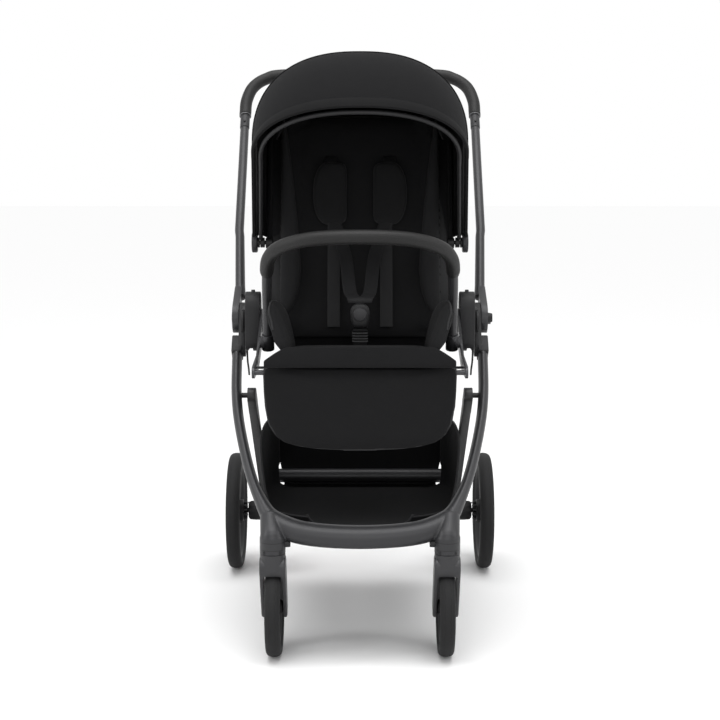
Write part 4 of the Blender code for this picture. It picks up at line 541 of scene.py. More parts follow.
def stitches(path, inward, name, body):
    """A row of raised thread stitches along a path, each sunk at both ends."""
    shape = bmesh.new()
    total = [0.0]
    for first, second in zip(path, path[1:]):
        total.append(total[-1] + (second - first).length)

    def at_length(want):
        for i in range(len(path) - 1):
            if total[i + 1] >= want:
                share = (want - total[i]) / max(total[i + 1] - total[i], 1e-9)
                return path[i].lerp(path[i + 1], share)
        return path[-1].copy()

    out = -inward
    for n in range(int(total[-1] / STITCH_PITCH)):
        start = n * STITCH_PITCH + (STITCH_PITCH - STITCH_LENGTH) / 2
        points = [at_length(start + STITCH_LENGTH * s) for s in (0.0, 0.25, 0.5, 0.75, 1.0)]
        rows = []
        for i, (place, up) in enumerate(zip(points, (-0.6, 0.5, 0.9, 0.5, -0.6))):
            across = heading(points, i).cross(out).normalized()
            centre = place + out * (up * THREAD_RADIUS)
            rows.append([
                shape.verts.new(p) for p in ring(centre, across, out, THREAD_RADIUS, THREAD_RADIUS, 5)
            ])
        for first, second in zip(rows, rows[1:]):
            for j in range(5):
                shape.faces.new((first[j], first[(j + 1) % 5], second[(j + 1) % 5], second[j]))
        shape.faces.new(rows[0])
        shape.faces.new(rows[-1])
    return fit(from_faces(shape, name), name, body, THREAD.material, sharp=60)


def drawn_in(radius, least, rate):
    """The radius of a sleeve that is drawn in at its two ends."""
    def at(share):
        end = min(share, 1 - share) * rate
        return radius * (least + (1 - least) * min(1, end) ** 0.5)

    return at


STITCH_PITCH, STITCH_LENGTH, THREAD_RADIUS = 0.0055, 0.0040, 0.00035
LEATHER = leatherette("black_leatherette", (0.0064, 0.0062, 0.0062))
THREAD = Finish("grey_thread", (0.060, 0.060, 0.062), 0.7)
THREAD.shaded(THREAD.noise(3000, 2), 0.3)
corner = on_arm(ARM_X, COLLAR_LOW + COLLAR_LENGTH + 0.0003)
half = [
    corner, corner + ARM_UP * 0.008, corner + Vector((-0.0020, 0.0200, 0.0324)),
    corner + Vector((-0.0150, 0.0360, 0.0612)), corner + Vector((-0.0430, 0.0460, 0.0801)),
    corner + Vector((-0.0850, 0.0495, 0.0882)),
]
HANDLE_TOP = Vector((0, corner.y + 0.050, corner.z + 0.090))
bend = smooth([*half, HANDLE_TOP, *mirrored(half)], 8)
inner = [on_arm(ARM_X, ARM_TOP - 0.14), *bend, on_arm(-ARM_X, ARM_TOP - 0.14)]
fit(tube(inner, 0.0066, 24), "handle_inner_tube", "handle", STEEL.material, ["handle_tube"])
sleeve = tube(bend, drawn_in(0.0128, 0.86, 40), 32)
pocket = disc(0.0085, 0.012, HANDLE_TOP + Vector((0, -0.0140, 0)), "Y", 40)
pocket.scale = (2.05, 1, 0.78)
cut(sleeve, pocket)
fit(sleeve, "handle_sleeve", "handle", LEATHER, ["handle_grip"], 50)
under = Vector((0, 0, -1)).lerp(ARM_BEHIND, 0.5).normalized() * 0.0127
stitches([place + under for place in bend[4:-4]], Vector((0, -0.4, 0.9)).normalized(),
         "handle_stitching", "handle")
moulding("handle_button", "handle_release_button", "handle_button", GREY, 0.0012)


# Rear frame: two flat-oval legs, a cross tube bolted between them, axle housings and the foot
# brake. The brake's pedal is red nylon so that it is found by foot.

RED = plastic("red_nylon", (0.42, 0.015, 0.022), 0.42)
DARK_COAT = powder_coat("black_powder_coat", (0.0120, 0.0120, 0.0128), 0.45, 0.20)
for side, _ in SIDES:
    moulding(f"rear_leg_{side}", f"rear_leg_tube_{side}", "rear_frame", DARK_COAT, 0.0008)
    moulding(f"axle_housing_{side}", f"axle_cover_{side}", "rear_frame", BLACK, 0.0006)
    moulding(f"brake_pin_{side}", f"brake_bolt_{side}", f"brake_pin_{side}", STEEL.material,
             0.0003)
moulding("rear_cross_tube", "cross_tube", "rear_frame", GUNMETAL, 0.0006)
moulding("brake_pedal", "brake_pedal_tread", "brake_pedal", RED, 0.0008)
cross_low, cross_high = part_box("rear_cross_tube")
for side, sign in SIDES:
    place = (
        sign * (cross_high.x - 0.0095), cross_low.y + 0.0004, (cross_low.z + cross_high.z) / 2 + 0.002)
    fit(capped_disc(0.0042, 0.0016, place, "Y", -1, 0.30), f"cross_tube_screw_{side}", "rear_frame",
        STEEL.material)


# Casters: cast lugs under the loop, painted with it so that tube and socket flow into each
# other. A fork swivels on each stem, with a push lock on its inner side and oval screws.

SOCKET_RADIUS, SOCKET_LOW = 0.0229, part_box("caster_socket_left")[0].z
SWIVEL = pivot["caster_left_swivel"]


def joined(pieces):
    """Several pieces made into one."""
    only(pieces[0])
    for piece in pieces[1:]:
        piece.select_set(True)
    bpy.ops.object.join()
    return pieces[0]


def socket_parting(coat):
    """The clamp ring's two edges round each caster socket."""
    x, y, z = coat.axes(coat.place)
    away = (abs(x) - SWIVEL.x) ** 2 + (y - SWIVEL.y) ** 2
    near = away < (SOCKET_RADIUS + 0.0012) ** 2
    low_edge = abs(z - (SOCKET_LOW + 0.0088)) < 0.0005
    high_edge = abs(z - (SOCKET_LOW + 0.0218)) < 0.0005
    return near * low_edge.sign("MAXIMUM", low_edge, high_edge)


FORK_HALF_WIDE, CROWN_RADIUS, FORK_TIP_RADIUS = 0.0232, 0.0222, 0.0192
WHEEL_SLOT_RADIUS, WHEEL_SLOT_WIDE = 0.0945, 0.0346
CASTING_VOXEL = 0.0014
# Painted shade: the loop and its sockets wear a darker copy of the gunmetal coat, since the loop faces up
# into the overhead light.
SHADED_GUNMETAL = powder_coat("gunmetal_coat_painted_shade", (0.024, 0.024, 0.026), 0.42, 0.28, socket_parting)
castings = [loop]
for _, sign in SIDES:
    foot = Vector((sign * SWIVEL.x, SWIVEL.y, SOCKET_LOW))
    castings.append(disc(SOCKET_RADIUS, 0.030, foot + Vector((0, 0, 0.015)), "Z", 64))
    castings.append(tube([
        foot + Vector((0, 0, 0.020)), foot + Vector((sign * 0.0010, 0.0010, 0.032)),
        on_leg(sign * (SWIVEL.x + 0.0045), LEG_LENGTH * 0.915),
    ], lambda share: SOCKET_RADIUS - 0.0001 - 0.0035 * share, 48, 6))
joined(castings)
work(loop, "REMESH", mode="VOXEL", voxel_size=CASTING_VOXEL)
work(loop, "SMOOTH", factor=0.5, iterations=3)
fit(loop, "front_frame_casting", "chassis", SHADED_GUNMETAL,
    ["front_frame", "caster_socket_left", "caster_socket_right"], 60)
for side, sign in SIDES:
    foot = Vector((sign * SWIVEL.x, SWIVEL.y, SOCKET_LOW))
    axle = pivot[f"front_wheel_{side}_spin"]
    crown = Vector((0, foot.y + 0.002, SOCKET_LOW - 0.0263))
    outline = []
    for n in range(64):
        out = side_line(360 * n / 64)
        centre, radius = max(
            ((crown, CROWN_RADIUS), (axle, FORK_TIP_RADIUS)), key=lambda end: end[0].dot(out) + end[1])
        outline.append(Vector((0, centre.y, centre.z)) + out * radius)
    fork = skin([
        [point + Vector((foot.x + out_x, 0, 0)) for point in outline]
        for out_x in (-FORK_HALF_WIDE, FORK_HALF_WIDE)
    ])
    round_off(fork, 0.0034, 4, 60)
    neck = disc(SOCKET_RADIUS - 0.0002, 0.028, (foot.x, foot.y, SOCKET_LOW - 0.0143), "Z", 64)
    wheel_slot = disc(WHEEL_SLOT_RADIUS, WHEEL_SLOT_WIDE, (foot.x, axle.y, axle.z), "X", 128)
    round_off(wheel_slot, 0.0060, 5, 60)
    cut(fork, neck, "UNION")
    cut(fork, wheel_slot)
    fit(fork, f"caster_fork_arms_{side}", f"caster_{side}", GUNMETAL,
        [f"caster_fork_{side}"])
    for face, where in ((sign, "outer"), (-sign, "inner")):
        outward = Vector((face * 0.62, -0.785, 0)).normalized()
        screw = capped_disc(0.0036, 0.0016, (0, 0, 0), "Z", 1, 0.30, 0.0006)
        aim(screw, foot + Vector((0, 0, 0.0045)) + outward * (SOCKET_RADIUS - 0.0003), outward, "Y", 0.7)
        fit(screw, f"caster_screw_{side}_{where}", "chassis", BLACK)
    moulding(f"swivel_lock_{side}", f"swivel_lock_knob_{side}", f"swivel_lock_{side}", BLACK,
             0.0005)


# Wheels: foam-filled rubber tyres with a shallow zigzag tread on five-spoke nylon rims. The rear
# hubs carry a toothed ring that the brake bolt drops into.

def turned(profile, centre, steps=96):
    """A profile of (radius, x) points turned round the x axis through centre."""
    mesh = bpy.data.meshes.new("turned")
    tilt = math.pi / steps
    points = [(x, -radius * math.sin(tilt), -radius * math.cos(tilt)) for radius, x in profile]
    mesh.from_pydata(points, [(i, i + 1) for i in range(len(points) - 1)], [])
    piece = link("turned", mesh)
    piece.location = centre
    only(piece)
    bpy.ops.object.transform_apply(location=True, rotation=False, scale=False)
    bpy.ops.object.mode_set(mode="EDIT")
    bpy.ops.mesh.select_all(action="SELECT")
    bpy.ops.mesh.spin(steps=steps, angle=2 * math.pi, center=centre, axis=(1, 0, 0))
    bpy.ops.mesh.select_all(action="SELECT")
    bpy.ops.mesh.remove_doubles(threshold=0.00001)
    bpy.ops.mesh.normals_make_consistent(inside=False)
    bpy.ops.object.mode_set(mode="OBJECT")
    return piece


def tyre_section(rolling, seat, width):
    """From one bead over the tread to the other bead."""
    half, deep = width / 2, rolling - seat
    side = [(seat + deep * up, half * out) for up, out in TYRE_SIDE]
    return side + [(rolling, 0.0)] + [(r, -x) for r, x in reversed(side)] + side[:1]


def rubber(name, centre, rolling, width, blocks):
    """Matte tyre rubber, with the tread's zigzag grooves cut by the wheel's own angle."""
    coat = Finish(name, (0.0100, 0.0100, 0.0104), 0.72, 0.0, Specular_IOR_Level=0.25)
    x, y, z = coat.axes(coat.node("ShaderNodeVectorMath", {"operation": "SUBTRACT"}, {
        0: coat.place, 1: centre,
    }))
    turn = y.sign("ARCTAN2", y, z) * (blocks / (2 * math.pi))
    wave = abs(turn.sign("FRACT", turn) - 0.5) * 2
    radius = (y * y + z * z) ** 0.5
    across = abs(x) / (width / 2)
    line_at = wave * 0.16 + 0.30
    groove = (abs(across - line_at) < 0.045) * (radius > rolling - width * 0.2)
    edge = (abs(across - 0.66) < 0.03) * (radius > rolling - width * 0.3)
    depth = groove.sign("MAXIMUM", groove, edge)
    # Painted shade: the grooves are darkened in the colour. The noise is the rubber's own uneven tone.
    coat.shaded((1 - depth) * 0.5 + coat.noise(90, 4) * 0.5, 0.28)
    coat.set("Roughness", coat.noise(300, 3) * 0.15 + 0.66)
    coat.relief((1 - depth) + coat.noise(1400, 2) * 0.12, 0.0007, 0.8)
    return coat.material


def moved(piece, place, degrees):
    """Turns a piece round x, moves it to its place and puts both in its mesh."""
    piece.rotation_euler = (math.radians(degrees), 0, 0)
    piece.location = place
    only(piece)
    bpy.ops.object.transform_apply(location=True, rotation=True, scale=True)
    return piece


def block(size, up):
    """A block of this size whose middle is this far up the z axis."""
    bpy.ops.object.select_all(action="DESELECT")
    bpy.ops.mesh.primitive_cube_add(size=1, location=(0, 0, up))
    piece = bpy.context.object
    piece.scale = size
    bpy.ops.object.transform_apply(location=True, rotation=True, scale=True)
    return piece


def wheel(place, seat, width, hub_radius, hub_half):
    """The spoked rim: an outer ring, five tapered spokes and a hub, joined in one piece."""
    lip = width * 0.34
    band = turned([
        (seat - 0.0003, lip), (seat - 0.0035, lip + 0.0010), (seat - 0.0090, lip * 0.72),
        (seat - 0.0130, 0.0), (seat - 0.0090, -lip * 0.72), (seat - 0.0035, -lip - 0.0010),
        (seat - 0.0003, -lip), (seat - 0.0003, lip),
    ], place)
    hub = turned([
        (0.0058, hub_half), (hub_radius - 0.002, hub_half), (hub_radius, hub_half - 0.0015),
        (hub_radius + 0.0015, 0.0), (hub_radius, -hub_half + 0.0015),
        (hub_radius - 0.002, -hub_half), (0.0058, -hub_half), (0.0058, hub_half),
    ], place, 64)
    pieces = [band, hub]
    reach = seat - 0.0095 - hub_radius * 0.8
    for n in range(5):
        spoke = block((width * 0.30, seat * 0.20, reach), hub_radius * 0.8 + reach / 2)
        face_towards(spoke, (0, 0, 1))
        bpy.ops.transform.resize(value=(1.25, 1.75, 1))
        for face in (1, -1):
            dished(spoke, (face, 0, 0), (seat * 0.035, 0), (0.0006, -0.0012))
        round_off(spoke, 0.0012, 3, 40)
        pieces.append(moved(spoke, place, 72 * n + 36))
    return joined(pieces)


TYRE_SIDE = (
    # share of the rubber's depth above the rim, share of half the width
    (0.0, 0.62), (0.10, 0.80), (0.30, 0.97), (0.45, 1.0), (0.62, 0.985), (0.76, 0.90), (0.88, 0.72),
    (0.955, 0.48), (0.99, 0.24),
)
WHEELS = (
    # end, rolling radius, rim seat's radius, width, tyre's steps, tread blocks, hub's radius and half width
    ("front", 0.090, 0.071, 0.028, 120, 26, 0.0135, 0.0155),
    ("rear", 0.127, 0.104, 0.030, 144, 36, 0.0240, 0.0160),
)
for side, sign in SIDES:
    for end, rolling, seat, width, steps, blocks, hub_radius, hub_half in WHEELS:
        body = f"{end}_wheel_{side}"
        low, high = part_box(f"{end}_tyre_{side}")
        axle = Vector(((low.x + high.x) / 2, pivot[f"{body}_spin"].y, pivot[f"{body}_spin"].z))
        fit(turned(tyre_section(rolling, seat, width), axle, steps), f"{end}_tyre_tread_{side}", body,
            rubber(f"{end}_tread_rubber_{side}", axle, rolling, width, blocks),
            [f"{end}_tyre_{side}"], 50)
        fit(wheel(axle, seat, width, hub_radius, hub_half), f"{end}_rim_spokes_{side}", body, BLACK,
            [f"{end}_rim_{side}"])
        if end == "front":
            for face, where in ((sign, "outer"), (-sign, "inner")):
                spacer = disc(0.0085, 0.0016, axle + Vector((face * 0.0160, 0, 0)), "X", 40)
                work(spacer, "BEVEL", width=0.0004, segments=2)
                fit(spacer, f"front_spacer_{side}_{where}", body, BLACK)
            continue
        cap = capped_disc(0.0150, 0.0030, axle + Vector((sign * 0.0150, 0, 0)), "X", sign, 0.18)
        fit(cap, f"rear_hub_cap_{side}", body, GREY)
        teeth = []
        for n in range(12):
            tooth = block((0.0085, 0.0034, 0.0088), 0.0168)
            work(tooth, "BEVEL", width=0.0006, segments=2)
            teeth.append(moved(tooth, axle - Vector((sign * 0.0191, 0, 0)), 30 * n + 15))
        fit(joined(teeth), f"brake_ring_{side}", body, GREY)


# Basket: a tray of coated polyester hung between the front loop and the cross tube. It sags
# under its own weight between its bound edges.

def woven(name, colour, roughness, pitch, depth):
    """A plain weave that follows the cloth's own UV map, mottled by its yarns."""
    coat = Finish(name, colour, roughness, 0.0, Specular_IOR_Level=0.06, Sheen_Weight=0.008,
                  Sheen_Roughness=0.5)
    u, v = coat.weave_axes()
    turns = 2 * math.pi / pitch
    warp = u.sign("SINE", u * turns)
    weft = v.sign("SINE", v * turns)
    weave = warp * weft * 0.5 + 0.5
    yarn = coat.noise(420, 4) * 0.6 + coat.noise(60, 3) * 0.4
    coat.shaded(weave * 0.25 + yarn * 0.75, 0.35)
    coat.set("Roughness", yarn * 0.12 + (roughness - 0.06))
    coat.relief(weave * 0.7 + yarn * 0.3, depth, 0.6)
    return coat.material


def face_area(piece):
    return sum(face.area for face in piece.data.polygons)


def basket_floor_at(x):
    """Height of the tray's rear edge at an x."""
    low = [point for point in rows[-1] if point.z < FLOOR_REAR + 0.008]
    return min(low, key=lambda point: abs(point.x - x)).z


COVER = woven("charcoal_cover_weave", (0.0100, 0.0100, 0.0106), 0.90, 0.0011, 0.00030)
BASKET_STATIONS = (
    # distance behind the front axle, half width, share of the rim's rise
    (-0.0174, 0.095, 0.0), (-0.0100, 0.120, 0.01), (0.0010, 0.143, 0.03), (0.0220, 0.161, 0.08),
    (0.0600, 0.174, 0.28), (0.1100, 0.1835, 0.66), (0.1600, 0.1875, 0.96), (0.2650, 0.1885, 1.0),
    (0.3900, 0.1865, 0.92), (0.4400, 0.171, 0.86),
)
AXLE_Y = pivot["front_wheel_left_spin"].y
RIM_FRONT, RIM_TOP, FLOOR_FRONT, FLOOR_REAR = 0.2600, 0.3740, 0.2440, 0.2130
REAR_PANEL = (
    # behind the tray's end, above its floor: under the cross tube and up behind it
    (0.0, 0.0), (0.0160, -0.0015), (0.0300, 0.0000), (0.0380, 0.0060), (0.0395, 0.0200),
    (0.0395, 0.0450), (0.0385, 0.0750), (0.0370, 0.1050), (0.0360, 0.1380),
)
SAG = 0.007
basket_front, basket_rear = BASKET_STATIONS[0][0], BASKET_STATIONS[-1][0]
rows = []
for station in smooth([Vector(station) for station in BASKET_STATIONS], 6):
    share = (station.x - basket_front) / (basket_rear - basket_front)
    floor = FLOOR_FRONT + (FLOOR_REAR - FLOOR_FRONT) * share
    rim = RIM_FRONT + (RIM_TOP - RIM_FRONT) * max(0.0, station.z)
    sag = SAG * math.sin(math.pi * min(1, max(0, share)))
    side = smooth([Vector((x, 0, z)) for x, z in (
        (0, floor - sag), (station.y * 0.35, floor - sag * 0.9), (station.y * 0.65, floor - sag * 0.5),
        (station.y - 0.030, floor), (station.y - 0.010, floor + 0.006),
        (station.y - 0.001, floor + 0.020),
        (station.y - 0.001 - sag * 0.15, floor + (rim - floor) * 0.55 + 0.008), (station.y, rim),
    )], 5)
    rows.append([Vector((p.x, AXLE_Y + station.x, p.z)) for p in mirrored(side[1:]) + side])
tray = skin(rows, round_across=False)
wall_at = AXLE_Y + basket_rear
rear_wall = []
for behind, above, _ in smooth([Vector((behind, above, 0)) for behind, above in REAR_PANEL], 3):
    half = 0.1600 + 0.0100 * min(1, above / 0.05)
    level = min(1, above / 0.02)
    rear_wall.append([
        Vector((x, wall_at + behind, basket_floor_at(x) * (1 - level) + FLOOR_REAR * level + above))
        for x in (half * (j / 20 - 1) for j in range(41))
    ])
pieces = [tray, skin(rear_wall, round_across=False)]
for _, sign in SIDES:
    # Over the cross tube's end, a gusset joins the tray's side to the rear panel.
    pieces.append(skin([[
        Vector((sign * (0.1708 - 0.0008 * j / 8), wall_at + (0.0375 - 0.0010 * i / 6) * j / 8,
                0.2600 + 0.0910 * i / 6))
        for j in range(9)
    ] for i in range(7)], round_across=False))
area = face_area(joined(pieces))
work(tray, "SOLIDIFY", thickness=0.0018, offset=0.0)
BINDING = woven("grey_basket_binding", (0.024, 0.024, 0.025), 0.85, 0.0009, 0.00020)
edge = [row[0] for row in reversed(rows)] + rows[0][1:-1] + [row[-1] for row in rows]
bound = tube([point + Vector((0, 0, 0.0006)) for point in edge[::3]], 0.0021, 12, 2)
fit(bound, "basket_binding", "chassis", BINDING, sharp=60)
fit(tray, "basket_tray", "chassis", COVER, ["basket"], 60)
for piece in (tray, bound):
    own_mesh(piece)


# Cables: two black-jacketed brake cables that run from the fold housings to the rear legs. Each
# hangs in the open over a short stretch, with both ends inside the tubes.

CABLE_RADIUS = 0.0018
for side, sign in SIDES:
    route = [Vector((sign * x, AXLE_Y + behind, z)) for x, behind, z in (
        (0.2190, 0.2620, 0.5480), (0.2187, 0.2450, 0.5280), (0.2165, 0.2240, 0.5100),
        (0.2130, 0.2030, 0.4970), (0.2110, 0.1860, 0.4890),
    )]
    cable = tube(route, CABLE_RADIUS, 12, 8)
    fit(cable, f"cable_jacket_{side}", "chassis", BLACK, [f"brake_cable_{side}"], 60)
    run = smooth(route, 8)


# Seat frame: flat aluminium side plates with the bumper bar's sleeves, and nylon hubs that drop
# over the posts of the frame and lock there.

ANODISED = Finish("satin_anodised_aluminium", (0.040, 0.040, 0.043), 0.42, 0.45)
grain = ANODISED.stretched((1, 0.04, 1))
ANODISED.shaded(ANODISED.noise(900, 3, grain), 0.10)
ANODISED.set("Roughness", ANODISED.noise(700, 3, grain) * 0.2 + 0.24)
moulding("seat_frame", "seat_side_plates", "seat", ANODISED.material, 0.0005)
for side, _ in SIDES:
    moulding(f"seat_hub_{side}", f"seat_hub_shell_{side}", "seat", BLACK, 0.0010)
    moulding(f"seat_release_{side}", f"seat_release_key_{side}", f"seat_release_{side}", GREY,
             0.0006)


# Seat cushion: foam in a charcoal cover with hip wings at both sides. The wings' edges are
# piped, and skirts fall from the pad's sides over the frame's plates.

def blow_up(piece, most):
    """Fills a cover: the cloth swells under pressure, and no point moves further than most."""
    for vertex in piece.data.vertices:
        vertex.co = vertex.co - vertex.normal * START_IN
    rest = [vertex.co.copy() for vertex in piece.data.vertices]
    only(piece)
    cloth = piece.modifiers.new("Cover", "CLOTH")
    cloth.settings.quality = 6
    cloth.settings.mass = 0.25
    cloth.settings.tension_stiffness = 18
    cloth.settings.compression_stiffness = 18
    cloth.settings.bending_stiffness = 0.8
    cloth.settings.use_pressure = True
    cloth.settings.uniform_pressure_force = PRESSURE
    cloth.settings.effector_weights.gravity = 0
    scene = bpy.context.scene
    for step in range(1, 21):
        scene.frame_set(step)
    swollen = piece.evaluated_get(bpy.context.evaluated_depsgraph_get()).data
    moved = [vertex.co.copy() for vertex in swollen.vertices]
    piece.modifiers.remove(cloth)
    scene.frame_set(1)
    for vertex, start, end in zip(piece.data.vertices, rest, moved):
        step = end - start
        vertex.co = start + step * min(1, most / max(step.length, 1e-9))


def extent(piece):
    """The lowest and highest value of a piece's points on each axis."""
    columns = zip(*(vertex.co for vertex in piece.data.vertices))
    return [(min(column), max(column)) for column in columns]


def upholster(piece, most):
    """A closed blank made into a filled cover, which ends as wide, deep and high as the blank."""
    blank = extent(piece)
    work(piece, "REMESH", mode="VOXEL", voxel_size=COVER_VOXEL)
    blow_up(piece, most)
    work(piece, "SMOOTH", factor=0.5, iterations=3)
    work(piece, "SUBSURF", levels=1, render_levels=1)
    for axis, ((low, high), (start, end)) in enumerate(zip(extent(piece), blank)):
        scale = (end - start) / (high - low)
        for vertex in piece.data.vertices:
            vertex.co[axis] = start + (vertex.co[axis] - low) * scale
    return piece


def padded_cloth(name, colour, depth=0.00025):
    """Cover cloth on a padded piece: fine yarns both ways, on the piece's own coordinates."""
    coat = Finish(name, colour, 0.9, 0.0, Specular_IOR_Level=0.10, Sheen_Weight=0.015,
                  Sheen_Roughness=0.5)
    wide, tall = coat.stretched((1, 0.25, 1)), coat.stretched((0.25, 1, 0.25))
    yarn = coat.noise(1500, 3, wide) * 0.5 + coat.noise(1500, 3, tall) * 0.5
    coat.shaded(yarn * 0.7 + coat.noise(25, 3) * 0.3, 0.30)
    coat.set("Roughness", yarn * 0.1 + 0.84)
    coat.relief(yarn, depth, 0.7)
    return coat.material


def pad_ring(centre, across, over, half_across, half_over, sides, square, crown):
    """A cushion's section: flat on its faces, drawn in round its edges."""
    row = []
    for i in range(sides):
        turn = 2 * math.pi * i / sides
        a = math.copysign(abs(math.cos(turn)) ** square, math.cos(turn)) * half_across
        b = math.copysign(abs(math.sin(turn)) ** crown, math.sin(turn)) * half_over
        row.append(centre + across * a + over * b)
    return row


def rounded(share, power):
    """1 over most of a length and 0 at both ends. A higher power makes the ends shorter."""
    return (1 - abs(2 * share - 1) ** power) ** 0.5


def between(table, value):
    """A value read off a table of (position, value) pairs."""
    for (start, first), (end, second) in zip(table, table[1:]):
        if value <= end:
            share = (value - start) / (end - start)
            return first + (second - first) * max(0.0, share)
    return table[-1][1]


START_IN, PRESSURE, COVER_VOXEL = 0.002, 4.0, 0.0045
SEAT_CLOTH = padded_cloth("charcoal_seat_cloth", (0.0092, 0.0092, 0.0097))
WING_CLOTH = padded_cloth("grey_wing_cloth", (0.0138, 0.0138, 0.0144))
PIPING = padded_cloth("grey_piping", (0.030, 0.030, 0.031))
SIDE, UP, FORWARD = Vector((1, 0, 0)), Vector((0, 0, 1)), Vector((0, -1, 0))
# Each table holds y and a height, a rise or a spread there.
SEAT_TOP = ((-0.362, 0.5500), (-0.355, 0.5605), (-0.340, 0.5640), (-0.320, 0.5651), (-0.280, 0.5627),
            (-0.240, 0.5576), (-0.200, 0.5518), (-0.160, 0.5451), (-0.120, 0.5357), (-0.086, 0.5240))
WING_RISE = ((-0.352, 0.012), (-0.347, 0.034), (-0.340, 0.050), (-0.328, 0.062), (-0.310, 0.0715),
             (-0.280, 0.0790), (-0.250, 0.0800), (-0.215, 0.0730), (-0.185, 0.0560), (-0.162, 0.0380),
             (-0.145, 0.020), (-0.132, 0.004))
WING_SPREAD = ((-0.352, 0.0230), (-0.330, 0.0330), (-0.290, 0.0330), (-0.250, 0.0230), (-0.200, 0.0160),
               (-0.130, 0.0140))
WING_X = 0.1270
SKIRT_FRONT, SKIRT_DEEP = -0.3390, 0.2090
rows = []
for i in range(37):
    y = -0.3600 + 0.2740 * i / 36
    thick = 0.0280 * rounded(i / 36, 9) + 0.0020
    middle = Vector((0, y, between(SEAT_TOP, y) - thick / 2))
    rows.append(pad_ring(middle, SIDE, UP, 0.1330, thick / 2, 72, 0.30, 0.60))
seat_pad = upholster(skin(rows), 0.005)
fit(seat_pad, "seat_pad", "seat", SEAT_CLOTH, ["seat_cushion"], 80)
for side, sign in SIDES:
    rows, ridge = [], []
    for i in range(45):
        y = -0.3515 + 0.2190 * i / 44
        foot = Vector((sign * WING_X, y, between(SEAT_TOP, y) - 0.010))
        top_x = sign * (WING_X + between(WING_SPREAD, y))
        top = Vector((top_x, y, foot.z + 0.010 + between(WING_RISE, y)))
        lean = (top - foot).normalized()
        face = lean.cross(Vector((0, 1, 0)))
        thick = 0.0090 * rounded(i / 44, 8) + 0.0015
        rows.append(pad_ring((foot + top) / 2, lean, face, (top - foot).length / 2, thick, 40, 0.62, 0.85))
        ridge.append(top + lean * 0.0006)
    wing = skin(rows)
    work(wing, "SMOOTH", factor=0.5, iterations=4)
    fit(wing, f"hip_wing_{side}", "seat", WING_CLOTH, sharp=80)
    rows = []
    for i in range(40):
        y = SKIRT_FRONT + SKIRT_DEEP * i / 39
        rows.append([
            Vector((sign * (0.1240 + 0.0425 * j / 12), y,
                    between(SEAT_TOP, y) - 0.0060 - 0.026 * (j / 12) ** 2.2))
            for j in range(13)
        ])
    skirt = skin(rows, round_across=False)
    area = face_area(skirt)
    work(skirt, "SOLIDIFY", thickness=0.0024, offset=0.0)
    fit(skirt, f"seat_side_skirt_{side}", "seat", WING_CLOTH, sharp=60)
    fit(tube(ridge[1:-1], 0.0016, 10, 2), f"hip_wing_piping_{side}", "seat", PIPING,
        sharp=60)

rows = []
for i in range(15):
    share = i / 14
    centre = Vector((0, -0.3580 - 0.0095 * math.sin(share * math.pi / 2), 0.5690 - 0.0350 * share))
    half = 0.1270 + 0.0410 * min(1, share * 1.5) ** 0.75
    rows.append(pad_ring(centre, SIDE, FORWARD, half, 0.0042 * rounded(share, 5) + 0.0010, 80, 0.30, 0.7))
apron = fit(
    skin(rows), "seat_front_apron", ("seat", "calf_rest", (0, -0.3620, 0.5560), (0, -0.3670, 0.5345)),
    SEAT_CLOTH, sharp=80,
)


# Calf rest: a padded flap that hangs from the seat's front edge and turns up. Its lower corners
# are broadly rounded and its edge is piped.

CALF_OUTLINE = (
    # z, half width
    (0.3860, 0.030), (0.3880, 0.075), (0.3926, 0.107), (0.3999, 0.132), (0.4123, 0.149),
    (0.4317, 0.161), (0.4583, 0.1665), (0.4885, 0.1690), (0.5221, 0.1700), (0.5300, 0.1690),
    (0.5345, 0.1600),
)
CALF_LOW, CALF_TALL = 0.3850, 0.1495
calf_y = pivot["calf_rest_tilt"].y
rows, side_edge = [], []
for i in range(49):
    share = 0.5 - 0.5 * math.cos(math.pi * i / 48)
    z = CALF_LOW + CALF_TALL * share
    half = between(CALF_OUTLINE, max(z, 0.3860))
    thick = 0.0080 * rounded(share, 10) + 0.0028
    rows.append(pad_ring(Vector((0, calf_y, z)), SIDE, FORWARD, half, thick, 88, 0.26, 0.38))
    side_edge.append(Vector((half - 0.0020, calf_y - 0.0030, z + 0.0020 * (1 - i / 48))))
calf_pad = upholster(skin(rows), 0.004)
fit(calf_pad, "calf_pad", "calf_rest", SEAT_CLOTH, ["calf_rest"], 80)
fit(tube(mirrored(side_edge) + side_edge, 0.0021, 10, 2), "calf_piping", "calf_rest", PIPING,
    sharp=60)


# Backrest: a tube hoop round a board, with a padded liner whose side bolsters stand forward. A
# gusset of lining closes the gap between the back and the seat pad.

def on_back(x, up, behind=0.0):
    return RECLINE + BACK_UP * up + BACK_BEHIND * behind + Vector((x, 0, 0))


moulding("back_frame", "back_hoop", "backrest", BLACK, 0.0006)
moulding("recline_lever", "recline_pull", "recline_lever", GREY, 0.0006)
LINER_CLOTH = padded_cloth("black_liner_cloth", (0.0088, 0.0088, 0.0093))
BOLSTER_CLOTH = padded_cloth("charcoal_bolster_cloth", (0.0155, 0.0155, 0.0162))
back_pad = upholster(merged_copy("back_cushion", "back_liner"), 0.0045)
fit(back_pad, "back_liner", "backrest", LINER_CLOTH, ["back_cushion"], 80)
RECLINE = pivot["recline"]
BACK_SLOPE = 71.4
BACK_UP = side_line(BACK_SLOPE)
BACK_BEHIND = side_line(BACK_SLOPE - 90)
BOLSTER_INNER = (
    # distance up the back, x of the bolster's inner edge
    (0.010, 0.1400), (0.030, 0.1260), (0.060, 0.1165), (0.100, 0.1120), (0.200, 0.1200),
    (0.300, 0.1310), (0.380, 0.1420), (0.408, 0.1475),
)
BOLSTER_OUTER = 0.1525
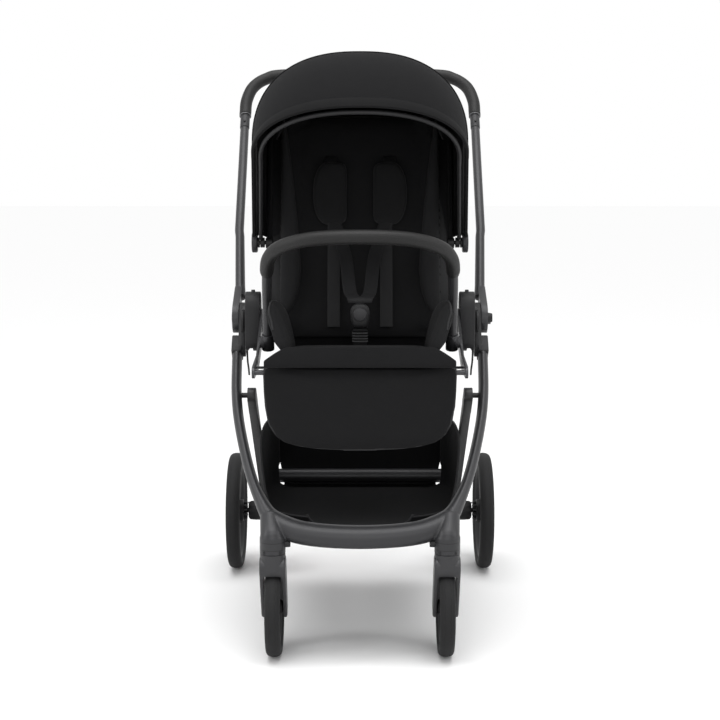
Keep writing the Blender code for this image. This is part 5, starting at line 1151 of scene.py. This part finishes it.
for side, sign in SIDES:
    rows = []
    for i in range(61):
        up = 0.0100 + 0.3960 * i / 60
        inner_x = between(BOLSTER_INNER, up)
        half = (BOLSTER_OUTER - inner_x) / 2
        rows.append(pad_ring(on_back(sign * (inner_x + half), up, -0.0475), SIDE, -BACK_BEHIND, half,
                             0.0120 * rounded(i / 60, 10) + 0.0015, 40, 0.75, 0.85))
    bolster = skin(rows)
    work(bolster, "SMOOTH", factor=0.5, iterations=4)
    fit(bolster, f"side_bolster_{side}", "backrest", BOLSTER_CLOTH, sharp=80)

low, high = Vector((0, -0.1080, 0.5290)), on_back(0, 0.0150, -0.0300)
rows = []
for i in range(11):
    share = i / 10
    centre = low.lerp(high, share) + Vector((0, -0.005 * math.sin(math.pi * share), 0))
    rows.append([centre + Vector((0.1500 * (j / 30 - 1), 0, 0)) for j in range(61)])
gusset = skin(rows, round_across=False)
work(gusset, "SOLIDIFY", thickness=0.0020, offset=0.0)
fit(gusset, "seat_back_gusset", ("seat", "backrest", (0, -0.1080, 0.5300), (0, -0.1100, 0.5750)),
    LINER_CLOTH, sharp=60)


# Harness: polyester webbing with padded shoulder sleeves, a crotch strap and a round-button
# buckle. The webbing is ribbed along its length.

def webbing(name, colour):
    """Ribbed narrow webbing, with its ribs along it and its picks across."""
    coat = Finish(name, colour, 0.62, 0.0, Specular_IOR_Level=0.2)
    u, v = coat.weave_axes()
    ribs = u.sign("SINE", u * (2 * math.pi / 0.0016)) * 0.5 + 0.5
    picks = v.sign("SINE", v * (2 * math.pi / 0.0011)) * 0.5 + 0.5
    coat.shaded(ribs * 0.6 + picks * 0.4, 0.4)
    coat.set("Roughness", picks * 0.15 + 0.55)
    coat.relief(ribs * 0.6 + picks * 0.4, 0.0003, 0.7)
    return coat.material


def strap(points, thickness=0.0018):
    """Flat webbing with rounded edges along a smooth path."""
    path = smooth(points, 6)
    rings = []
    for i, place in enumerate(path):
        run = heading(path, i)
        across = (SIDE - run * run.x).normalized()
        rings.append(pad_ring(place, across, run.cross(across), STRAP_WIDTH / 2, thickness / 2, 24,
                              0.35, 0.8))
    return skin(rings)


STRAP_WIDTH = 0.0240
PAD_X, PAD_TOP, PAD_LENGTH = 0.0580, 0.3130, 0.1250
WEBBING = webbing("black_webbing", (0.0105, 0.0105, 0.0112))
PAD_CLOTH = padded_cloth("charcoal_pad_cloth", (0.0105, 0.0105, 0.0110))
SHOULDER_ROUTE = (
    # x, up the back and behind its face, from the slot in the back to below the pad
    (0.0560, 0.3300, -0.0388), (0.0560, 0.3290, -0.0440), (0.0570, 0.3200, -0.0500),
    (0.0580, 0.3050, -0.0540), (0.0580, 0.2600, -0.0550), (0.0560, 0.2200, -0.0560),
    (0.0530, 0.2000, -0.0580), (0.0450, 0.1800, -0.0620), (0.0330, 0.1400, -0.0740),
    (0.0260, 0.1080, -0.0930),
)
BUCKLE_ROUTE = (
    # x, behind the front axle and z, from there into the buckle
    (0.0190, 0.1020, 0.6580), (0.0120, 0.0750, 0.6460), (0.0100, 0.0702, 0.6410), (0.0100, 0.0700, 0.6369),
)
WAIST_ROUTE = (
    # up the back and behind its face
    (0.2000, -0.0570), (0.1800, -0.0500), (0.1500, -0.0495), (0.0900, -0.0510), (0.0300, -0.0500),
    (-0.0100, -0.0470),
)
for side, sign in SIDES:
    belt = strap(
        [on_back(sign * x, up, behind) for x, up, behind in SHOULDER_ROUTE]
        + [Vector((sign * x, AXLE_Y + behind, z)) for x, behind, z in BUCKLE_ROUTE])
    fit(belt, f"shoulder_webbing_{side}",
        ("seat", "backrest", (0, AXLE_Y + 0.075, 0.640), on_back(0, 0.24, -0.056)),
        WEBBING, [f"shoulder_strap_{side}"], 60)

    rows, outer_edge, inner_edge = [], [], []
    for i in range(41):
        share = i / 40
        up = PAD_TOP - PAD_LENGTH * share
        outer = 0.0290 * rounded(share, 2.4) + 0.0020
        inner = 0.0300 * rounded(share, 14) + 0.0010
        middle = on_back(sign * (PAD_X + (outer - inner) / 2), up, -0.0560)
        rows.append(pad_ring(middle, SIDE, -BACK_BEHIND, (outer + inner) / 2,
                             0.0066 * rounded(share, 8) + 0.0012, 44, 0.42, 0.75))
        outer_edge.append(on_back(sign * (PAD_X + outer), up, -0.0575))
        inner_edge.append(on_back(sign * (PAD_X - inner), up, -0.0575))
    pad = fit(skin(rows), f"shoulder_pad_{side}", "backrest", PAD_CLOTH, sharp=70)
    edge = outer_edge + inner_edge[::-1]
    fit(tube(edge + edge[:1], 0.0013, 10, 1), f"shoulder_pad_binding_{side}", "backrest", WEBBING,
        sharp=60)
    waist = strap([on_back(sign * 0.0500, up, behind) for up, behind in WAIST_ROUTE])
    fit(waist, f"waist_webbing_{side}", "backrest", WEBBING, sharp=60)

crotch_low, crotch_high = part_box("crotch_strap")
crotch = [Vector((0, AXLE_Y + behind, z)) for behind, z in (
    (0.070, crotch_low.z), (0.0685, crotch_low.z + 0.008), (0.0695, crotch_high.z),
)]
fit(strap(crotch, thickness=0.0020), "crotch_webbing", "seat", WEBBING, ["crotch_strap"], 60)
buckle_low, buckle_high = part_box("buckle")
buckle_y = (buckle_low.y + buckle_high.y) / 2
BUCKLE_HALF = (
    # share of its height, half width
    (0.0, 0.0115), (0.08, 0.0140), (0.35, 0.0170), (0.60, 0.0178), (0.78, 0.0165), (0.90, 0.0130),
    (0.97, 0.0085), (1.0, 0.0040),
)
shell, adjuster = [], []
for i in range(33):
    share = i / 32
    z = buckle_low.z + 0.0002 + (buckle_high.z - buckle_low.z - 0.0004) * share
    shell.append(pad_ring(Vector((0, buckle_y, z)), SIDE, FORWARD, between(BUCKLE_HALF, share),
                          0.0092 * rounded(share, 5) + 0.0008, 48, 0.6, 0.6))
for i in range(49):
    share = i / 48
    deep = 0.0040 + 0.0010 * math.cos(share * 8 * math.pi)
    adjuster.append(pad_ring(Vector((0, buckle_y, buckle_low.z - 0.0035 - 0.0200 * share)), SIDE,
                             FORWARD, 0.0145, deep, 40, 0.35, 0.5))
fit(skin(shell), "buckle_shell", "seat", BLACK, ["buckle"], 40)
fit(skin(adjuster), "buckle_adjuster", "seat", BLACK, sharp=30)
moulding("buckle_button", "buckle_release", "buckle_button", GREY, 0.0008)


# Bumper bar: an aluminium tube that plugs into sleeves on the seat, with a padded leatherette
# cover sewn along its lower side.

BUMPER_X = 0.1702
BUMPER_FOOT = Vector((BUMPER_X, AXLE_Y + 0.118, 0.548))
BUMPER_UP = side_line(109)
half = [BUMPER_FOOT + BUMPER_UP * up for up in (0.0, 0.045, 0.080)]
half += [Vector((x, AXLE_Y + behind, z)) for x, behind, z in (
    (0.1672, 0.042, 0.690), (0.1600, 0.005, 0.723), (0.1340, -0.031, 0.745), (0.0800, -0.062, 0.759),
)]
bumper_line = smooth([*half, Vector((0, AXLE_Y - 0.075, 0.763)), *mirrored(half)], 10)
cover_line = bumper_line[30:-30]
fit(tube(bumper_line, 0.0085, 28), "bumper_bar_tube", "bumper_bar", GUNMETAL,
    ["bumper_tube"])
fit(tube(cover_line, drawn_in(0.0125, 0.80, 45), 40), "bumper_bar_cover", "bumper_bar", LEATHER,
    ["bumper_grip"], 50)
stitches([point + Vector((0, 0, -0.0122)) for point in cover_line[6:-6]], UP, "bumper_stitching",
         "bumper_bar")
for side, _ in SIDES:
    moulding(f"bumper_button_{side}", f"bumper_release_{side}", f"bumper_button_{side}", GREY,
             0.0004)


# Canopy: one cover of charcoal cloth over two sprung bows, lined in black. Welts cover its seams
# on the rear and middle bows, and a binding hems it round the front bow.

CANOPY_PIVOT = pivot["canopy_mid_fold"]
CANOPY_STATIONS = (
    # angle from +Y, half width at the foot, half width, crown radius, shoulder radius, squareness
    (62.0, 0.1866, 0.1866, 0.2970, 0.195, 2.8), (82.0, 0.1975, 0.1965, 0.3420, 0.190, 2.6),
    (102.6, 0.2065, 0.2040, 0.3665, 0.185, 2.4), (122.0, 0.2065, 0.1995, 0.3885, 0.218, 2.35),
    (142.7, 0.2065, 0.1920, 0.4085, 0.258, 2.3),
)
CANOPY_FOOT = 0.014
CANOPY_STEPS = 14
MIDDLE = 2 * CANOPY_STEPS


def canopy_sections():
    """The cover's measures at even steps from its rear edge to its front edge."""
    columns = []
    for column in range(6):
        values = [Vector((station[0], station[column], 0)) for station in CANOPY_STATIONS]
        columns.append([point.y for point in smooth(values, CANOPY_STEPS)])
    return list(zip(*columns))


def canopy_arch(section, lift=0.0):
    """Points across the cover, from one side's foot over the crown to the other's."""
    angle, foot_x, half_width, crown, shoulder, power = section
    out = side_line(angle)
    side = []
    for i in range(14):
        radius = CANOPY_FOOT + (shoulder - CANOPY_FOOT) * i / 14
        side.append((foot_x + (half_width - foot_x) * radius / shoulder + lift, radius))
    for i in range(45):
        turn = math.pi / 2 * i / 44
        side.append((
            (half_width + lift) * max(0.0, math.cos(turn)) ** (2 / power),
            shoulder + (crown - shoulder + lift) * math.sin(turn) ** (2 / power),
        ))
    side[-1] = (0.0, side[-1][1])
    whole = side + [(-x, r) for x, r in reversed(side[:-1])]
    return [CANOPY_PIVOT + out * radius + Vector((x, 0, 0)) for x, radius in whole]


sections = canopy_sections()
LINING = padded_cloth("black_canopy_lining", (0.0052, 0.0052, 0.0056), 0.0002)
HEM = padded_cloth("black_hem_binding", (0.0078, 0.0078, 0.0082), 0.0002)
for end, first, last, near, far in (
    ("rear", 0, MIDDLE, "backrest", "canopy_mid"),
    ("front", MIDDLE, 2 * MIDDLE, "canopy_mid", "canopy_front"),
):
    rows = []
    for i in range(first, last + 1):
        share = (i - first) / (last - first)
        rows.append(canopy_arch(sections[i], -0.0030 * math.sin(math.pi * share)))
    cover = skin(rows, round_across=False)
    cover.data.materials.append(COVER)
    cover.data.materials.append(LINING)
    middle = cover.data.polygons[len(cover.data.polygons) // 2]
    if middle.normal.dot(middle.center - CANOPY_PIVOT) < 0:
        cover.data.flip_normals()
    work(cover, "SOLIDIFY", thickness=0.0016, offset=-1.0, material_offset=1, material_offset_rim=0)
    start, stop = (CANOPY_PIVOT + side_line(sections[i][0]) * 0.3 for i in (first, last))
    fit(cover, f"canopy_{end}_cover", (near, far, start, stop), None,
        [f"canopy_{end}_panel"], 60)
arch = canopy_arch(sections[0])
rows = []
for i in range(11):
    share = i / 10
    row = []
    for point in arch:
        up = min((point.z - RECLINE.z) / BACK_UP.z, 0.372)
        low = on_back(point.x * 0.925, up, 0.0112)
        row.append(point.lerp(low, share) + BACK_BEHIND * (0.006 * math.sin(math.pi * share)))
    rows.append(row)
drape = skin(rows, round_across=False)
work(drape, "SOLIDIFY", thickness=0.0014, offset=0.0)
fit(drape, "canopy_rear_drape", "backrest", LINING, sharp=60)
hem = skin([canopy_arch(section, 0.0013) for section in sections[-3:]], round_across=False)
work(hem, "SOLIDIFY", thickness=0.0034, offset=0.0)
round_off(hem, 0.0010, 2, 50)
fit(hem, "canopy_front_hem", "canopy_front", HEM, sharp=60)
for end, section, body in (("rear", sections[0], "backrest"), ("mid", sections[MIDDLE], "canopy_mid")):
    fit(tube(canopy_arch(section, 0.0007), 0.0014, 10), f"canopy_{end}_welt", body, HEM,
        sharp=60)
for bow, section, inside, hub_x in (
    ("mid", sections[MIDDLE], 0.0052, 0.1990), ("front", sections[-1], 0.0138, 0.1895),
):
    hoop = tube(canopy_arch(section, -inside), 0.0040, 16)
    hubs = [disc(0.0098, 0.0080, CANOPY_PIVOT + SIDE * (sign * hub_x)) for _, sign in SIDES]
    fit(joined([hoop, *hubs]), f"canopy_{bow}_hoop", f"canopy_{bow}", BLACK,
        [f"canopy_{bow}_bow"], 50)
for side, sign in SIDES:
    cap = capped_disc(0.0195, 0.0110, CANOPY_PIVOT + SIDE * (sign * 0.2045), "X", sign, 0.20)
    fit(cap, f"canopy_hinge_cover_{side}", "backrest", GREY)


# The photograph's studio: a white floor that keeps the stroller's shadow, soft lamps overhead
# and at both sides, and a long lens from the front at chest height.

LAMPS = (
    # name, place, target's height, width, height, power
    ("top_softbox", (0, -0.8, 3.2), 0.5, 2.4, 2.4, 26),
    ("front_fill", (0, -4.2, 1.7), 0.6, 2.6, 1.6, 26),
    ("left_strip", (-2.4, -0.9, 1.5), 0.6, 0.6, 2.2, 20),
    ("right_strip", (2.4, -0.9, 1.5), 0.6, 0.6, 2.2, 14),
)
for name, place, target, width, height, power in LAMPS:
    light = bpy.data.lights.new(name, "AREA")
    light.shape = "RECTANGLE"
    light.size = width
    light.size_y = height
    light.energy = power
    holder = link(name, light)
    holder.location = place
    holder.rotation_euler = (Vector((0, 0, target)) - Vector(place)).to_track_quat("-Z", "Y").to_euler()
sun = bpy.data.lights.new("wide_overhead", "SUN")
sun.energy = 2.10
sun.angle = math.radians(60)
link("wide_overhead", sun).rotation_euler = (math.radians(12), 0, 0)

bpy.ops.object.select_all(action="DESELECT")
bpy.ops.mesh.primitive_plane_add(size=60, location=(0, 0, -0.0004))
floor = bpy.context.object
floor.name = "studio_floor"
white = Finish("white_floor", (0.94, 0.94, 0.94), 0.9, 0.0, Specular_IOR_Level=0.0)
floor.data.materials.append(white.material)
floor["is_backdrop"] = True

# The stroller is lit by a dim white sky, and the camera sees a full white one.
world = bpy.data.worlds.new("studio")
bpy.context.scene.world = world
world.use_nodes = True
sky = world.node_tree
rays = sky.nodes.new("ShaderNodeLightPath")
camera_ray, mirror_ray, through_ray = (
    Level(sky, rays.outputs[f"Is {kind} Ray"]) for kind in ("Camera", "Glossy", "Transmission"))
seen = sky.nodes.new("ShaderNodeMixShader")
sky.links.new((camera_ray + mirror_ray + through_ray).socket, seen.inputs[0])
for entry, source, strength in (
    (1, sky.nodes["Background"], 0.38), (2, sky.nodes.new("ShaderNodeBackground"), 1.0),
):
    source.inputs["Color"].default_value = (1, 1, 1, 1)
    source.inputs["Strength"].default_value = strength
    sky.links.new(source.outputs[0], seen.inputs[entry])
sky.links.new(seen.outputs[0], sky.nodes["World Output"].inputs["Surface"])
bpy.context.scene.view_settings.view_transform = "Standard"

lens = bpy.data.cameras.new("front_view")
lens.lens = 73.85
lens.sensor_width = 36
camera = link("front_view", lens)
camera.location = (0, -2.9185, 0.8832)
camera.rotation_euler = (math.radians(82.507), 0, 0)
bpy.context.scene.camera = camera

low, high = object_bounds()
